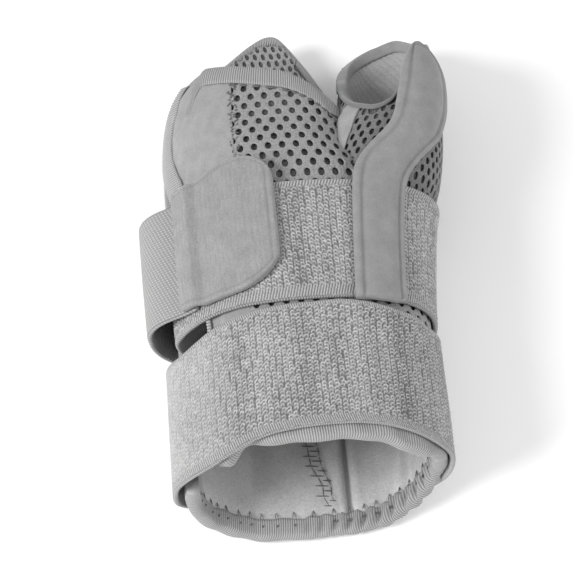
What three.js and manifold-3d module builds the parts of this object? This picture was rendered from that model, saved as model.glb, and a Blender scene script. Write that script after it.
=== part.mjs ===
// A thumb stabilizer brace that lies on its back: a padded wrap for the wrist and palm with a thumb
// sleeve, a padded stay cover, a loop band with its closing strap and tab, and a wide wrist strap.
// Millimetres. +Y runs from the forearm edge to the fingers, +Z up through the palm side, +X to the thumb.
import * as THREE from "three";
import { mergeVertices } from "three/addons/utils/BufferGeometryUtils.js";
import Module from "manifold-3d";

const wasm = await Module();
wasm.setup();

// Driving sizes
const LENGTH = 180; // forearm edge to the end of the back of the hand
const HALF_WIDTH = 35.5; // of the hollow at the wrist
const HEIGHT = 37.5; // of the hollow at the wrist
const THUMB_HALF_WIDTH = 17; // of the thumb's hollow
const LINING = 1.2; // thickness of the brushed lining
const PANEL = 1.5; // of the mesh and brushed outer panels
const WEBBING = 1.5; // of the loop band and the straps
const TAB = 1.9; // of the hook tabs
const COVER = 2.4; // of the padded stay cover
const PATCH = 1; // of the small patch at the thumb
const GAP = 0.3; // between pieces that touch
const HEM_GAP = 0.8; // between a binding and the panels that it ends
const BINDING_WIDTH = 5.5;
const BINDING_PROUD = 0.3; // how far a binding stands over the panel and under the lining
const WRIST_STRAP_WIDTH = 44;
const LOOP_BAND_WIDTH = 41.5;
const CLOSING_STRAP_WIDTH = 39;
const STRAP_SLACK = 2; // how far the wrist strap stands off at the open side
const CLOSING_SLACK = 6.2; // how far the closing strap stands off there
const HOLE_RADIUS = 1.2; // of a hole in the mesh
const HOLE_PITCH = 6.5; // of the holes

// Layers, as distances out from the inner face of the lining
const PANEL_IN = LINING + GAP;
const PANEL_OUT = PANEL_IN + PANEL;
const BINDING_OUT = PANEL_OUT + BINDING_PROUD;
const BAND_IN = BINDING_OUT + GAP;
const BAND_OUT = BAND_IN + WEBBING;
const OVER_BAND = BAND_OUT + GAP;
const OVER_CLOSING = OVER_BAND + WEBBING + GAP;
const FLOOR = BAND_OUT; // height of the hollow above the surface that the straps lie on

// Roundness of a section: 1 is an ellipse, less is squarer
const ROUNDNESS = 0.87;

// Sections of the hand's hollow. at: share of LENGTH. left, right, wrap: shares of HALF_WIDTH, where wrap
// goes round hand and thumb together. top, rise: shares of HEIGHT.
const HAND_SECTIONS = [
  { at: -0.06, left: 1.0, right: 0.94, wrap: 0.94, top: 1.0, rise: -0.06 },
  { at: 0.1, left: 1.0, right: 0.975, wrap: 0.975, top: 1.01, rise: -0.06 },
  { at: 0.28, left: 1.0, right: 1.0, wrap: 1.0, top: 1.02, rise: -0.06 },
  { at: 0.417, left: 1.02, right: 1.06, wrap: 1.08, top: 1.03, rise: -0.06 },
  { at: 0.517, left: 1.03, right: 1.12, wrap: 1.17, top: 1.03, rise: -0.06 },
  { at: 0.578, left: 1.03, right: 0.94, wrap: 1.28, top: 1.01, rise: -0.06 },
  { at: 0.622, left: 1.04, right: 0.7, wrap: 1.3, top: 0.97, rise: -0.06 },
  { at: 0.694, left: 1.03, right: 0.58, wrap: 1.36, top: 0.89, rise: -0.06 },
  { at: 0.778, left: 0.99, right: 0.55, wrap: 1.4, top: 0.8, rise: -0.05 },
  { at: 0.833, left: 0.94, right: 0.52, wrap: 1.4, top: 0.76, rise: -0.03 },
  { at: 0.889, left: 0.84, right: 0.5, wrap: 1.4, top: 0.71, rise: 0.03 },
  { at: 0.956, left: 0.66, right: 0.46, wrap: 1.4, top: 0.67, rise: 0.13 },
  { at: 1.04, left: 0.4, right: 0.36, wrap: 1.4, top: 0.65, rise: 0.28 },
];

// Sections of the thumb's hollow. across: its middle, share of HALF_WIDTH. half: share of THUMB_HALF_WIDTH.
const THUMB_SECTIONS = [
  { at: 0.42, across: 0.58, half: 0.85, top: 0.85, rise: 0.08 },
  { at: 0.528, across: 0.69, half: 0.92, top: 0.91, rise: 0.05 },
  { at: 0.56, across: 0.78, half: 0.95, top: 0.95, rise: 0.05 },
  { at: 0.639, across: 0.89, half: 0.95, top: 0.955, rise: 0.09 },
  { at: 0.75, across: 0.995, half: 0.85, top: 0.92, rise: 0.15 },
  { at: 0.833, across: 1.03, half: 0.79, top: 0.88, rise: 0.19 },
  { at: 0.96, across: 1.01, half: 0.7, top: 0.8, rise: 0.24 },
];

// Where the walls end along Y, by the angle round a section: 0 is the thumb side, 90 the palm, -90 the
// back of the hand. forearm, fingers: shares of LENGTH.
const HAND_EDGES = [
  { angle: -180, forearm: 0.012, fingers: 0.84 },
  { angle: -160, forearm: 0.003, fingers: 0.885 },
  { angle: -135, forearm: -0.008, fingers: 0.955 },
  { angle: -110, forearm: -0.016, fingers: 1.005 },
  { angle: -85, forearm: -0.018, fingers: 1.02 },
  { angle: -60, forearm: -0.006, fingers: 0.97 },
  { angle: -35, forearm: 0.02, fingers: 0.885 },
  { angle: -10, forearm: 0.042, fingers: 0.79 },
  { angle: 20, forearm: 0.044, fingers: 0.75 },
  { angle: 45, forearm: 0.038, fingers: 0.766 },
  { angle: 70, forearm: 0.03, fingers: 0.787 },
  { angle: 90, forearm: 0.026, fingers: 0.806 },
  { angle: 112, forearm: 0.024, fingers: 0.83 },
  { angle: 130, forearm: 0.022, fingers: 0.858 },
  { angle: 180, forearm: 0.016, fingers: 0.862 },
];

// Where the thumb sleeve ends, by the angle round the thumb. fingers: share of LENGTH.
const THUMB_EDGES = [
  { angle: -180, fingers: 0.845 },
  { angle: -150, fingers: 0.91 },
  { angle: -110, fingers: 0.96 },
  { angle: -60, fingers: 0.985 },
  { angle: -30, fingers: 0.962 },
  { angle: 0, fingers: 0.92 },
  { angle: 40, fingers: 0.875 },
  { angle: 62, fingers: 0.85 },
  { angle: 80, fingers: 0.775 },
  { angle: 92, fingers: 0.735 },
  { angle: 120, fingers: 0.735 },
  { angle: 150, fingers: 0.77 },
  { angle: 180, fingers: 0.845 },
];

// Angles of the open side's two edges. at: share of LENGTH.
const SLIT = [
  { at: -0.06, front: 137, back: -172 },
  { at: 0.3, front: 138, back: -172 },
  { at: 0.417, front: 145, back: -172 },
  { at: 0.528, front: 157, back: -172 },
  { at: 0.611, front: 168, back: -173 },
  { at: 0.7, front: 174, back: -174 },
  { at: 0.78, front: 168, back: -174 },
  { at: 0.83, front: 152, back: -173 },
  { at: 0.87, front: 132, back: -172 },
  { at: 1.04, front: 132, back: -172 },
];

// Angles where one outer panel of the hand gives way to the next
const SMOOTH_TO_MESH = 112;
const MESH_TO_BACK = -32;

const { lerp, smoothstep, degToRad, radToDeg } = THREE.MathUtils;

function curveThrough(rows, from, to) {
  const curve = new THREE.CubicInterpolant(
    rows.map((row) => row[from]),
    rows.map((row) => row[to]),
    1,
  );
  return (value) => curve.evaluate(value)[0];
}

const hand = {
  left: curveThrough(HAND_SECTIONS, "at", "left"),
  right: curveThrough(HAND_SECTIONS, "at", "right"),
  wrap: curveThrough(HAND_SECTIONS, "at", "wrap"),
  top: curveThrough(HAND_SECTIONS, "at", "top"),
  rise: curveThrough(HAND_SECTIONS, "at", "rise"),
  forearm: curveThrough(HAND_EDGES, "angle", "forearm"),
  fingers: curveThrough(HAND_EDGES, "angle", "fingers"),
};
const thumb = {
  across: curveThrough(THUMB_SECTIONS, "at", "across"),
  half: curveThrough(THUMB_SECTIONS, "at", "half"),
  top: curveThrough(THUMB_SECTIONS, "at", "top"),
  rise: curveThrough(THUMB_SECTIONS, "at", "rise"),
  fingers: curveThrough(THUMB_EDGES, "angle", "fingers"),
};
const slit = {
  front: curveThrough(SLIT, "at", "front"),
  back: curveThrough(SLIT, "at", "back"),
};

function rounded(value) {
  return Math.sign(value) * Math.abs(value) ** ROUNDNESS;
}

// A point of a section whose hollow has the given sides, moved out by `out`, flat where it would go
// under the surface that the straps lie on
function sectionPoint(angle, y, out, middle, left, right, top, rise) {
  const cos = Math.cos(degToRad(angle));
  const sin = Math.sin(degToRad(angle));
  const side = cos < 0 ? left : right;
  const centre = FLOOR + ((top + rise) * HEIGHT) / 2;
  const half = ((top - rise) * HEIGHT) / 2;
  const z = centre + (half + out) * rounded(sin);
  return new THREE.Vector3(middle + (side + out) * rounded(cos), y, Math.max(z, FLOOR - out));
}

function handPoint(angle, y, out) {
  const at = y / LENGTH;
  const left = hand.left(at) * HALF_WIDTH;
  const right = hand.right(at) * HALF_WIDTH;
  return sectionPoint(angle, y, out, 0, left, right, hand.top(at), hand.rise(at));
}

function wrapPoint(angle, y, out) {
  const at = y / LENGTH;
  const left = hand.left(at) * HALF_WIDTH;
  const right = hand.wrap(at) * HALF_WIDTH;
  return sectionPoint(angle, y, out, 0, left, right, hand.top(at), hand.rise(at));
}

function thumbPoint(angle, y, out) {
  const at = y / LENGTH;
  const half = thumb.half(at) * THUMB_HALF_WIDTH;
  const middle = thumb.across(at) * HALF_WIDTH;
  return sectionPoint(angle, y, out, middle, half, half, thumb.top(at), thumb.rise(at));
}

// Degrees round the hand that hold a width of tape at its side
function turnOf(width) {
  return radToDeg(width / HALF_WIDTH);
}

function forearmEdge(angle) {
  return hand.forearm(angle) * LENGTH;
}

function fingerEdge(angle) {
  return hand.fingers(angle) * LENGTH;
}

function thumbEdge(angle) {
  return thumb.fingers(angle) * LENGTH;
}

// A closed wall on a grid. corner(s, t, side): s across and t along, from 0 to 1, side 0 or 1 for its
// two faces. A ring closes on itself across.
function wall(columns, rows, corner, ring = false) {
  const positions = [];
  const index = [];
  const across = ring ? columns : columns + 1;
  const id = (i, j, side) => (side * (rows + 1) + j) * across + (i % across);
  const quad = (a, b, c, d) => index.push(a, b, c, a, c, d);
  for (const side of [0, 1]) {
    for (let j = 0; j <= rows; j += 1) {
      for (let i = 0; i < across; i += 1) {
        positions.push(...corner(i / columns, j / rows, side).toArray());
      }
    }
  }
  for (let i = 0; i < columns; i += 1) {
    for (let j = 0; j < rows; j += 1) {
      quad(id(i, j, 1), id(i + 1, j, 1), id(i + 1, j + 1, 1), id(i, j + 1, 1));
      quad(id(i, j, 0), id(i, j + 1, 0), id(i + 1, j + 1, 0), id(i + 1, j, 0));
    }
    quad(id(i, 0, 0), id(i + 1, 0, 0), id(i + 1, 0, 1), id(i, 0, 1));
    quad(id(i, rows, 0), id(i, rows, 1), id(i + 1, rows, 1), id(i + 1, rows, 0));
  }
  for (let j = 0; j < rows && !ring; j += 1) {
    quad(id(0, j, 0), id(0, j, 1), id(0, j + 1, 1), id(0, j + 1, 0));
    quad(id(columns, j, 0), id(columns, j + 1, 0), id(columns, j + 1, 1), id(columns, j, 1));
  }
  return outward(positions, index);
}

function outward(positions, index) {
  const geometry = new THREE.BufferGeometry();
  geometry.setAttribute("position", new THREE.Float32BufferAttribute(positions, 3));
  let volume = 0;
  const corners = [0, 1, 2].map(() => new THREE.Vector3());
  for (let i = 0; i < index.length; i += 3) {
    corners.forEach((corner, k) => corner.fromArray(positions, index[i + k] * 3));
    volume += corners[0].dot(corners[1].cross(corners[2]));
  }
  geometry.setIndex(volume < 0 ? index.slice().reverse() : index);
  return geometry;
}

// A filled form with a ring of corners at each row, closed at both ends
function filled(columns, rows, corner) {
  const positions = [];
  const index = [];
  for (let j = 0; j <= rows; j += 1) {
    for (let i = 0; i < columns; i += 1) {
      positions.push(...corner(i / columns, j / rows).toArray());
    }
  }
  const id = (i, j) => j * columns + (i % columns);
  for (let i = 0; i < columns; i += 1) {
    for (let j = 0; j < rows; j += 1) {
      index.push(id(i, j), id(i + 1, j), id(i + 1, j + 1), id(i, j), id(i + 1, j + 1), id(i, j + 1));
    }
    if (i > 0 && i < columns - 1) {
      index.push(id(0, 0), id(i + 1, 0), id(i, 0), id(0, rows), id(i, rows), id(i + 1, rows));
    }
  }
  return outward(positions, index);
}

function toSolid(geometry) {
  const bare = geometry.clone();
  bare.deleteAttribute("normal");
  bare.deleteAttribute("uv");
  const merged = mergeVertices(bare, 1e-4);
  const vertProperties = new Float32Array(merged.attributes.position.array);
  const triVerts = new Uint32Array(merged.index.array);
  return new wasm.Manifold(new wasm.Mesh({ numProp: 3, vertProperties, triVerts }));
}

function fromSolid(solid) {
  const mesh = solid.getMesh();
  const geometry = new THREE.BufferGeometry();
  geometry.setAttribute("position", new THREE.Float32BufferAttribute(mesh.vertProperties, 3));
  geometry.setIndex(Array.from(mesh.triVerts));
  return geometry;
}

// The main body of a cut piece, without crumbs
function mainBody(solid) {
  return solid.decompose().sort((one, other) => other.volume() - one.volume())[0];
}

// What the hand's and the thumb's tubes fill out to a given layer, for cutting
const HAND_CUT_FROM = -0.055;
const HAND_CUT_TO = 1.04;
const THUMB_FROM = 0.43;
const THUMB_COLUMNS = 20;
const THUMB_CUT_TO = 0.96;

function handForm(out) {
  const at = (t) => lerp(HAND_CUT_FROM, HAND_CUT_TO, t) * LENGTH;
  return toSolid(filled(32, 30, (s, t) => handPoint(360 * s, at(t), out)));
}

function thumbForm(out) {
  const at = (t) => lerp(THUMB_FROM, THUMB_CUT_TO, t) * LENGTH;
  return toSolid(filled(26, 12, (s, t) => thumbPoint(360 * s, at(t), out)));
}

// A stretch of the hand's wall between two angles, short of its bound edges. The angles shift along the
// wall and its ends follow the angle, so both are settled in a few passes.
const EDGE_PASSES = 4;

function handWall(columns, rows, from, to, inner, outer) {
  const hem = BINDING_WIDTH + HEM_GAP;
  return wall(columns, rows, (s, t, side) => {
    let at = t;
    let angle = 0;
    for (let pass = 0; pass < EDGE_PASSES; pass += 1) {
      angle = lerp(from(at), to(at), s);
      at = lerp(forearmEdge(angle) + hem, fingerEdge(angle) - hem, t) / LENGTH;
    }
    return handPoint(angle, at * LENGTH, side ? outer : inner);
  });
}

const frontHem = (at) => slit.front(at) - turnOf(BINDING_WIDTH + HEM_GAP);
const backHem = (at) => slit.back(at) + turnOf(BINDING_WIDTH + HEM_GAP);
const seamTurn = turnOf(GAP);

function liningPiece() {
  const palm = toSolid(handWall(40, 10, frontHem, backHem, 0, LINING));
  const sleeve = toSolid(sleeveWall(0, LINING));
  return fromSolid(mainBody(palm.subtract(thumbForm(0)).add(sleeve.subtract(handForm(0)))));
}

function sleeveWall(inner, outer) {
  const hem = BINDING_WIDTH + HEM_GAP;
  return wall(
    THUMB_COLUMNS,
    6,
    (s, t, side) => {
      const angle = 180 - 360 * s;
      const y = lerp(THUMB_FROM * LENGTH, thumbEdge(angle) - hem, t);
      return thumbPoint(angle, y, side ? outer : inner);
    },
    true,
  );
}

function frontSmoothPanel() {
  const seam = () => SMOOTH_TO_MESH + seamTurn;
  return handWall(5, 10, frontHem, seam, PANEL_IN, PANEL_OUT);
}

function frontMeshPanel() {
  const sheet = handWall(13, 10, () => SMOOTH_TO_MESH, () => MESH_TO_BACK, PANEL_IN, PANEL_OUT);
  let panel = mainBody(toSolid(sheet).subtract(thumbForm(PANEL_OUT + GAP)));
  for (const place of palmHoles()) {
    panel = panel.subtract(hole(handPoint, place.angle, place.y));
  }
  return fromSolid(panel);
}

// A hexagonal punch square to the panel
function hole(surface, angle, y) {
  const inner = surface(angle, y, PANEL_IN - GAP / 2);
  const outer = surface(angle, y, PANEL_OUT + GAP / 2);
  const punch = new THREE.CylinderGeometry(HOLE_RADIUS, HOLE_RADIUS, inner.distanceTo(outer), 6);
  const axis = outer.clone().sub(inner).normalize();
  punch.applyQuaternion(new THREE.Quaternion().setFromUnitVectors(new THREE.Vector3(0, 1, 0), axis));
  const middle = inner.clone().add(outer).multiplyScalar(0.5);
  return toSolid(punch.translate(middle.x, middle.y, middle.z));
}

// Rows of holes over the palm, between the loop band and the bound finger edge
function palmHoles() {
  const places = [];
  const rowStep = HOLE_PITCH * Math.sin(Math.PI / 3);
  const first = LOOP_BAND_FROM + LOOP_BAND_WIDTH + HOLE_PITCH;
  for (let row = 0; first + row * rowStep < LENGTH; row += 1) {
    const y = first + row * rowStep;
    const turn = radToDeg(HOLE_PITCH / handPoint(90, y, PANEL_OUT).z) * PALM_FLATNESS;
    for (let k = 0; k < HOLES_ACROSS; k += 1) {
      const angle = SMOOTH_TO_MESH - turn * (k + 0.9 + 0.5 * (row % 2));
      const clearOfEdge = y < fingerEdge(angle) - BINDING_WIDTH - HOLE_PITCH / 2;
      const point = handPoint(angle, y, PANEL_OUT);
      if (clearOfEdge && point.x < thumbPoint(180, y, 0).x + THUMB_OVERLAP) {
        places.push({ angle, y });
      }
    }
  }
  return places;
}

const HOLES_ACROSS = 7;
const PALM_FLATNESS = 0.95; // turn for a pitch there against that of a round section
const THUMB_OVERLAP = -1.5;

function backPanel() {
  const seam = () => MESH_TO_BACK - seamTurn;
  const sheet = toSolid(handWall(18, 10, seam, backHem, PANEL_IN, PANEL_OUT));
  return fromSolid(mainBody(sheet.subtract(thumbForm(PANEL_OUT + GAP))));
}

function thumbSleeve() {
  const sleeve = toSolid(sleeveWall(PANEL_IN, PANEL_OUT));
  return fromSolid(mainBody(sleeve.subtract(handForm(PANEL_OUT + GAP))));
}

// Tape along an edge of the hand's wall that runs round a section
function edgeBinding(columns, from, to, edge, inward) {
  return wall(columns, 1, (s, t, side) => {
    const angle = lerp(from, to, s);
    const y = edge(angle) + inward * lerp(0, BINDING_WIDTH, t);
    return handPoint(angle, y, side ? BINDING_OUT : -BINDING_PROUD);
  });
}

function clearOfThumb(geometry) {
  return fromSolid(mainBody(toSolid(geometry).subtract(thumbForm(BINDING_OUT + GAP))));
}

// Tape along an edge of the open side
function sideBinding(rows, edge, turn, fromY, toY) {
  return wall(1, rows, (s, t, side) => {
    const y = lerp(fromY, toY, t);
    const angle = edge(y / LENGTH) + lerp(0, turn, s);
    return handPoint(angle, y, side ? BINDING_OUT : -BINDING_PROUD);
  });
}

function thumbBinding() {
  const tape = wall(
    THUMB_COLUMNS,
    1,
    (s, t, side) => {
      const angle = 180 - 360 * s;
      const y = thumbEdge(angle) - BINDING_WIDTH + lerp(0, BINDING_WIDTH, t);
      return thumbPoint(angle, y, side ? BINDING_OUT : -BINDING_PROUD);
    },
    true,
  );
  return fromSolid(mainBody(toSolid(tape).subtract(handForm(BINDING_OUT + GAP))));
}

// A strap laid round hand and thumb. path(s) gives its angle and how far out it lies.
const LOOP_BAND_FROM = 53; // its edge beside the wrist strap, over the palm
const LOOP_BAND_DROP = 3; // how far that edge falls at the open side
const STRAP_JOINT = -52; // angle of the hidden joint of loop band and closing strap

function strap(columns, rows, thickness, path, low, high) {
  return wall(columns, rows, (s, t, side) => {
    const { angle, out } = path(s);
    const y = lerp(low(s, angle), high(s, angle), t);
    return wrapPoint(angle, y, out + (side ? thickness : 0));
  });
}

// The loop band goes over thumb side and palm, then in through the open side and behind its far edge
const BAND_END = 214;
const BAND_GOES_IN = 161;
const BAND_IS_IN = 188.5;

function loopBand() {
  const tucked = -BINDING_PROUD - GAP - WEBBING;
  const path = (s) => {
    const angle = lerp(STRAP_JOINT + seamTurn, BAND_END, s);
    return { angle, out: lerp(BAND_IN, tucked, smoothstep(angle, BAND_GOES_IN, BAND_IS_IN)) };
  };
  const low = (s, angle) => LOOP_BAND_FROM - LOOP_BAND_DROP * smoothstep(angle, 110, 180);
  const high = () => LOOP_BAND_FROM + LOOP_BAND_WIDTH;
  return strap(36, 3, WEBBING, path, low, high);
}

// The closing strap goes round the back, stands off at the open side and ends over the loop band
const CLOSING_FROM = 55.5;
const CLOSING_END = -223; // same place as 137
const CLOSING_LEAVES = -140;

function closingStrap() {
  const path = (s) => {
    const angle = lerp(STRAP_JOINT - seamTurn, CLOSING_END, s);
    const arch = smoothstep(-angle, -CLOSING_LEAVES, 185) * (1 - smoothstep(-angle, 185, 218));
    const over = smoothstep(-angle, 170, 205);
    return { angle, out: lerp(BAND_IN, OVER_BAND, over) + CLOSING_SLACK * arch };
  };
  const low = () => CLOSING_FROM;
  const high = () => CLOSING_FROM + CLOSING_STRAP_WIDTH;
  return strap(32, 2, WEBBING, path, low, high);
}

// The tab starts over the end of the closing strap, steps down onto the loop band and has round corners
const TAB_FROM = 143;
const TAB_STEPS = 133;
const TAB_END = 97;
const TAB_CORNER = 0.3; // share of the tab's length that its corners take
const TAB_CORNER_DEPTH = 10.5; // how far they draw its sides in
const TAB_INSET = 2.5; // of its start from the closing strap's low edge
const TAB_DROP = 3; // how far it widens on that side
const TAB_OVER = 3.5; // how far its start stands over the strap's high edge
const TAB_RISE = 8; // how far it widens there

function hookTab() {
  const path = (s) => {
    const angle = lerp(TAB_FROM, TAB_END, s);
    const down = 1 - smoothstep(angle, TAB_STEPS - 3, TAB_STEPS + 2);
    return { angle, out: lerp(OVER_CLOSING, OVER_BAND, down) };
  };
  const corner = (s) => 1 - Math.sqrt(1 - Math.max(0, (s - 1 + TAB_CORNER) / TAB_CORNER) ** 2);
  const low = (s) => CLOSING_FROM + TAB_INSET - TAB_DROP * smoothstep(s, 0, 0.6) + TAB_CORNER_DEPTH * corner(s);
  const top = CLOSING_FROM + CLOSING_STRAP_WIDTH + TAB_OVER;
  const high = (s) => top + TAB_RISE * smoothstep(s, 0, 0.65) - TAB_CORNER_DEPTH * corner(s);
  return strap(13, 4, TAB, path, low, high);
}

// The wrist strap is a whole loop, which stands off at the open side and rises over the stay cover's end
const WRIST_STRAP_EDGES = [
  { angle: -180, from: 0.02 },
  { angle: -135, from: 0.046 },
  { angle: -90, from: 0.046 },
  { angle: -45, from: 0.046 },
  { angle: 0, from: 0.042 },
  { angle: 45, from: 0.038 },
  { angle: 90, from: 0.036 },
  { angle: 135, from: 0.018 },
  { angle: 180, from: 0.02 },
];
const wristStrapEdge = curveThrough(WRIST_STRAP_EDGES, "angle", "from");

function wristStrapPoint(angle, t, out) {
  const y = wristStrapEdge(angle) * LENGTH + t * WRIST_STRAP_WIDTH;
  const away = Math.abs(angle) / 180;
  const slack = STRAP_SLACK * smoothstep(away, 0.68, 0.95);
  const seat = smoothstep(angle, -40, 10) * (1 - smoothstep(angle, 170, 180)) * 0.5;
  const atCover = smoothstep(angle, 26, 44) * (1 - smoothstep(angle, 76, 94)) * smoothstep(t, 0.55, 1);
  const rise = (OVER_BAND - BAND_IN) * atCover;
  return handPoint(angle, y, BAND_IN + Math.max(slack, seat, rise) + out);
}

function wristStrap() {
  const corner = (s, t, side) => wristStrapPoint(180 - 360 * s, t, side * WEBBING);
  return wall(40, 4, corner, true);
}

function wristStrapTab() {
  return wall(5, 2, (s, t, side) => {
    const angle = lerp(-158, -133, s);
    return wristStrapPoint(angle, lerp(0.03, 0.97, t), WEBBING + GAP + side * TAB);
  });
}

// The stay cover lies over the loop band along the palm, then along the thumb to its tip.
// at: share of LENGTH. left, right: its edges' angles round hand and thumb together.
// thumbLeft, thumbRight: the same round the thumb alone.
const COVER_EDGES = [
  { at: 0.255, left: 72, right: 49, thumbLeft: 108, thumbRight: 62 },
  { at: 0.36, left: 71, right: 49, thumbLeft: 108, thumbRight: 62 },
  { at: 0.5, left: 70, right: 48, thumbLeft: 106, thumbRight: 60 },
  { at: 0.6, left: 69, right: 45, thumbLeft: 95, thumbRight: 47 },
  { at: 0.66, left: 68, right: 43, thumbLeft: 86, thumbRight: 37 },
  { at: 0.72, left: 68, right: 42, thumbLeft: 83, thumbRight: 28 },
  { at: 0.79, left: 68, right: 40, thumbLeft: 79, thumbRight: 26 },
  { at: 0.85, left: 68, right: 40, thumbLeft: 77, thumbRight: 38 },
];
const coverEdge = {
  left: curveThrough(COVER_EDGES, "at", "left"),
  right: curveThrough(COVER_EDGES, "at", "right"),
  thumbLeft: curveThrough(COVER_EDGES, "at", "thumbLeft"),
  thumbRight: curveThrough(COVER_EDGES, "at", "thumbRight"),
};
const COVER_TO = 0.85;
const COVER_FROM = (WRIST_STRAP_WIDTH + GAP) / LENGTH + wristStrapEdge(60);
const COVER_TIP = 0.135; // share of its length that its tip takes, which is round at its right
const COVER_TIP_NARROWS = 0.82;

function stayCover() {
  const cover = wall(5, 18, (s, t, side) => {
    const share = 1 - (1 - t) ** 1.25;
    const at = lerp(COVER_FROM, COVER_TO, share);
    const y = at * LENGTH;
    const tip = Math.max(0, (share - 1 + COVER_TIP) / COVER_TIP);
    const across = s * Math.sqrt(1 - COVER_TIP_NARROWS * tip * tip);
    const round = wrapPoint(lerp(coverEdge.left(at), coverEdge.right(at), across), y, OVER_BAND + side * COVER);
    const seat = BINDING_OUT + 2 * GAP + side * COVER;
    const along = thumbPoint(lerp(coverEdge.thumbLeft(at), coverEdge.thumbRight(at), across), y, seat);
    return round.lerp(along, smoothstep(at, 0.53, 0.64));
  });
  return cover;
}

// A small smooth patch over the palm's mesh where it meets the thumb
function webPatch() {
  const patch = wall(4, 3, (s, t, side) => {
    const angle = lerp(64, 38, s);
    const y = lerp(0.63 * LENGTH, fingerEdge(angle) - BINDING_WIDTH - GAP, t);
    return handPoint(angle, y, PANEL_OUT + 1.5 * GAP + side * PATCH);
  });
  return fromSolid(mainBody(toSolid(patch).subtract(thumbForm(PANEL_OUT + 2 * GAP))));
}

function cloth(name, geometry, colour, roughness) {
  const flat = geometry.toNonIndexed();
  flat.computeVertexNormals();
  const material = new THREE.MeshStandardMaterial({ color: colour, roughness, metalness: 0 });
  const mesh = new THREE.Mesh(flat, material);
  mesh.name = name;
  return mesh;
}

const BRUSHED = 0x9b9b9b;
const MESH = 0x9d9d9d;
const LOOP = 0xa3a3a3;
const TAPE = 0x8f8f8f;
const INSIDE = 0xb3b3b3;
const STAY = 0x8c8c8c;

const hem = BINDING_WIDTH + HEM_GAP;
const frontCorner = () => fingerEdge(SMOOTH_TO_MESH + 18) - hem;
const tapeTurn = turnOf(BINDING_WIDTH);

const pieces = new THREE.Group();
pieces.add(cloth("lining", liningPiece(), INSIDE, 0.95));
pieces.add(cloth("front_smooth_panel", frontSmoothPanel(), BRUSHED, 0.95));
pieces.add(cloth("front_mesh_panel", frontMeshPanel(), MESH, 0.9));
pieces.add(cloth("back_panel", backPanel(), MESH, 0.9));
pieces.add(cloth("thumb_sleeve", thumbSleeve(), MESH, 0.9));
pieces.add(cloth("web_patch", webPatch(), BRUSHED, 0.95));
pieces.add(cloth("stay_cover", stayCover(), STAY, 0.9));
pieces.add(cloth("loop_band", loopBand(), LOOP, 0.95));
pieces.add(cloth("closing_strap", closingStrap(), TAPE, 0.85));
pieces.add(cloth("hook_tab", hookTab(), BRUSHED, 0.9));
pieces.add(cloth("wrist_strap", wristStrap(), LOOP, 0.95));
pieces.add(cloth("wrist_strap_tab", wristStrapTab(), BRUSHED, 0.9));
pieces.add(
  cloth("wrist_binding", edgeBinding(36, slit.front(0), slit.back(0), forearmEdge, 1), TAPE, 0.8),
);
pieces.add(cloth("hand_binding", clearOfThumb(edgeBinding(14, 129, 36, fingerEdge, -1)), TAPE, 0.8));
pieces.add(cloth("far_hand_binding", clearOfThumb(edgeBinding(24, -12, -173, fingerEdge, -1)), TAPE, 0.8));
pieces.add(
  cloth(
    "side_binding_front",
    sideBinding(12, slit.front, -tapeTurn, forearmEdge(137) + hem, frontCorner()),
    TAPE,
    0.8,
  ),
);
pieces.add(
  cloth(
    "side_binding_back",
    sideBinding(12, slit.back, tapeTurn, forearmEdge(-172) + hem, fingerEdge(-172) - hem),
    TAPE,
    0.8,
  ),
);
pieces.add(cloth("thumb_binding", thumbBinding(), TAPE, 0.8));

// The origin is in the middle of the part, on the surface that it lies on
const box = new THREE.Box3().setFromObject(pieces);
const middle = box.getCenter(new THREE.Vector3());
pieces.position.set(-middle.x, -middle.y, -box.min.z);

const brace = new THREE.Group();
brace.add(pieces);

export default brace;
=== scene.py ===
"""A thumb stabilizer brace over its CAD solids. Its cloths, tapes, straps and stitches have an operator each."""

import math

import bmesh
import bpy
import numpy as np
from mathutils import Matrix, Vector


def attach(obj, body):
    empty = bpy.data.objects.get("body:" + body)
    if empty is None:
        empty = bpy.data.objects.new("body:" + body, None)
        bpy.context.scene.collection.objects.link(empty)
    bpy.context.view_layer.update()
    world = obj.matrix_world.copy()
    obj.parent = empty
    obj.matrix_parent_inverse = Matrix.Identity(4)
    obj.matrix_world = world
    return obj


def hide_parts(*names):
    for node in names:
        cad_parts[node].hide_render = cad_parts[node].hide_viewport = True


bl_info = {
    "name": "Thumb Stabilizer Brace",
    "version": (1, 0, 0),
    "blender": (4, 5, 0),
    "location": "View3D > Sidebar > Brace",
    "description": "Makes the cloth, tapes, straps and stitches of a thumb stabilizer brace over its CAD solids",
    "category": "Object",
}

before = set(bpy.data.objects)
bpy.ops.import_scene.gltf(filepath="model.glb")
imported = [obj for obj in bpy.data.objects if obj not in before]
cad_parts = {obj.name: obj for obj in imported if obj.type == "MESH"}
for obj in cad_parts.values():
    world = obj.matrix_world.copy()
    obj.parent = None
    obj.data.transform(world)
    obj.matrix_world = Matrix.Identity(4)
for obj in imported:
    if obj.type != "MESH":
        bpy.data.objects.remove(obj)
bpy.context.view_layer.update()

# Sizes in millimetres, as the CAD source has them
LENGTH = 180
HALF_WIDTH = 35.5
HEIGHT = 37.5
THUMB_HALF_WIDTH = 17
LINING = 1.2
PANEL = 1.5
WEBBING = 1.5
TAB = 1.9
COVER = 2.4
GAP = 0.3
BINDING_WIDTH = 5.5
BINDING_PROUD = 0.3
WRIST_STRAP_WIDTH = 44
LOOP_BAND_WIDTH = 41.5
CLOSING_STRAP_WIDTH = 39
STRAP_SLACK = 2
CLOSING_SLACK = 6.2
PANEL_IN = LINING + GAP
PANEL_OUT = PANEL_IN + PANEL
BINDING_OUT = PANEL_OUT + BINDING_PROUD
BAND_IN = BINDING_OUT + GAP
BAND_OUT = BAND_IN + WEBBING
OVER_BAND = BAND_OUT + GAP
OVER_CLOSING = OVER_BAND + WEBBING + GAP
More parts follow.
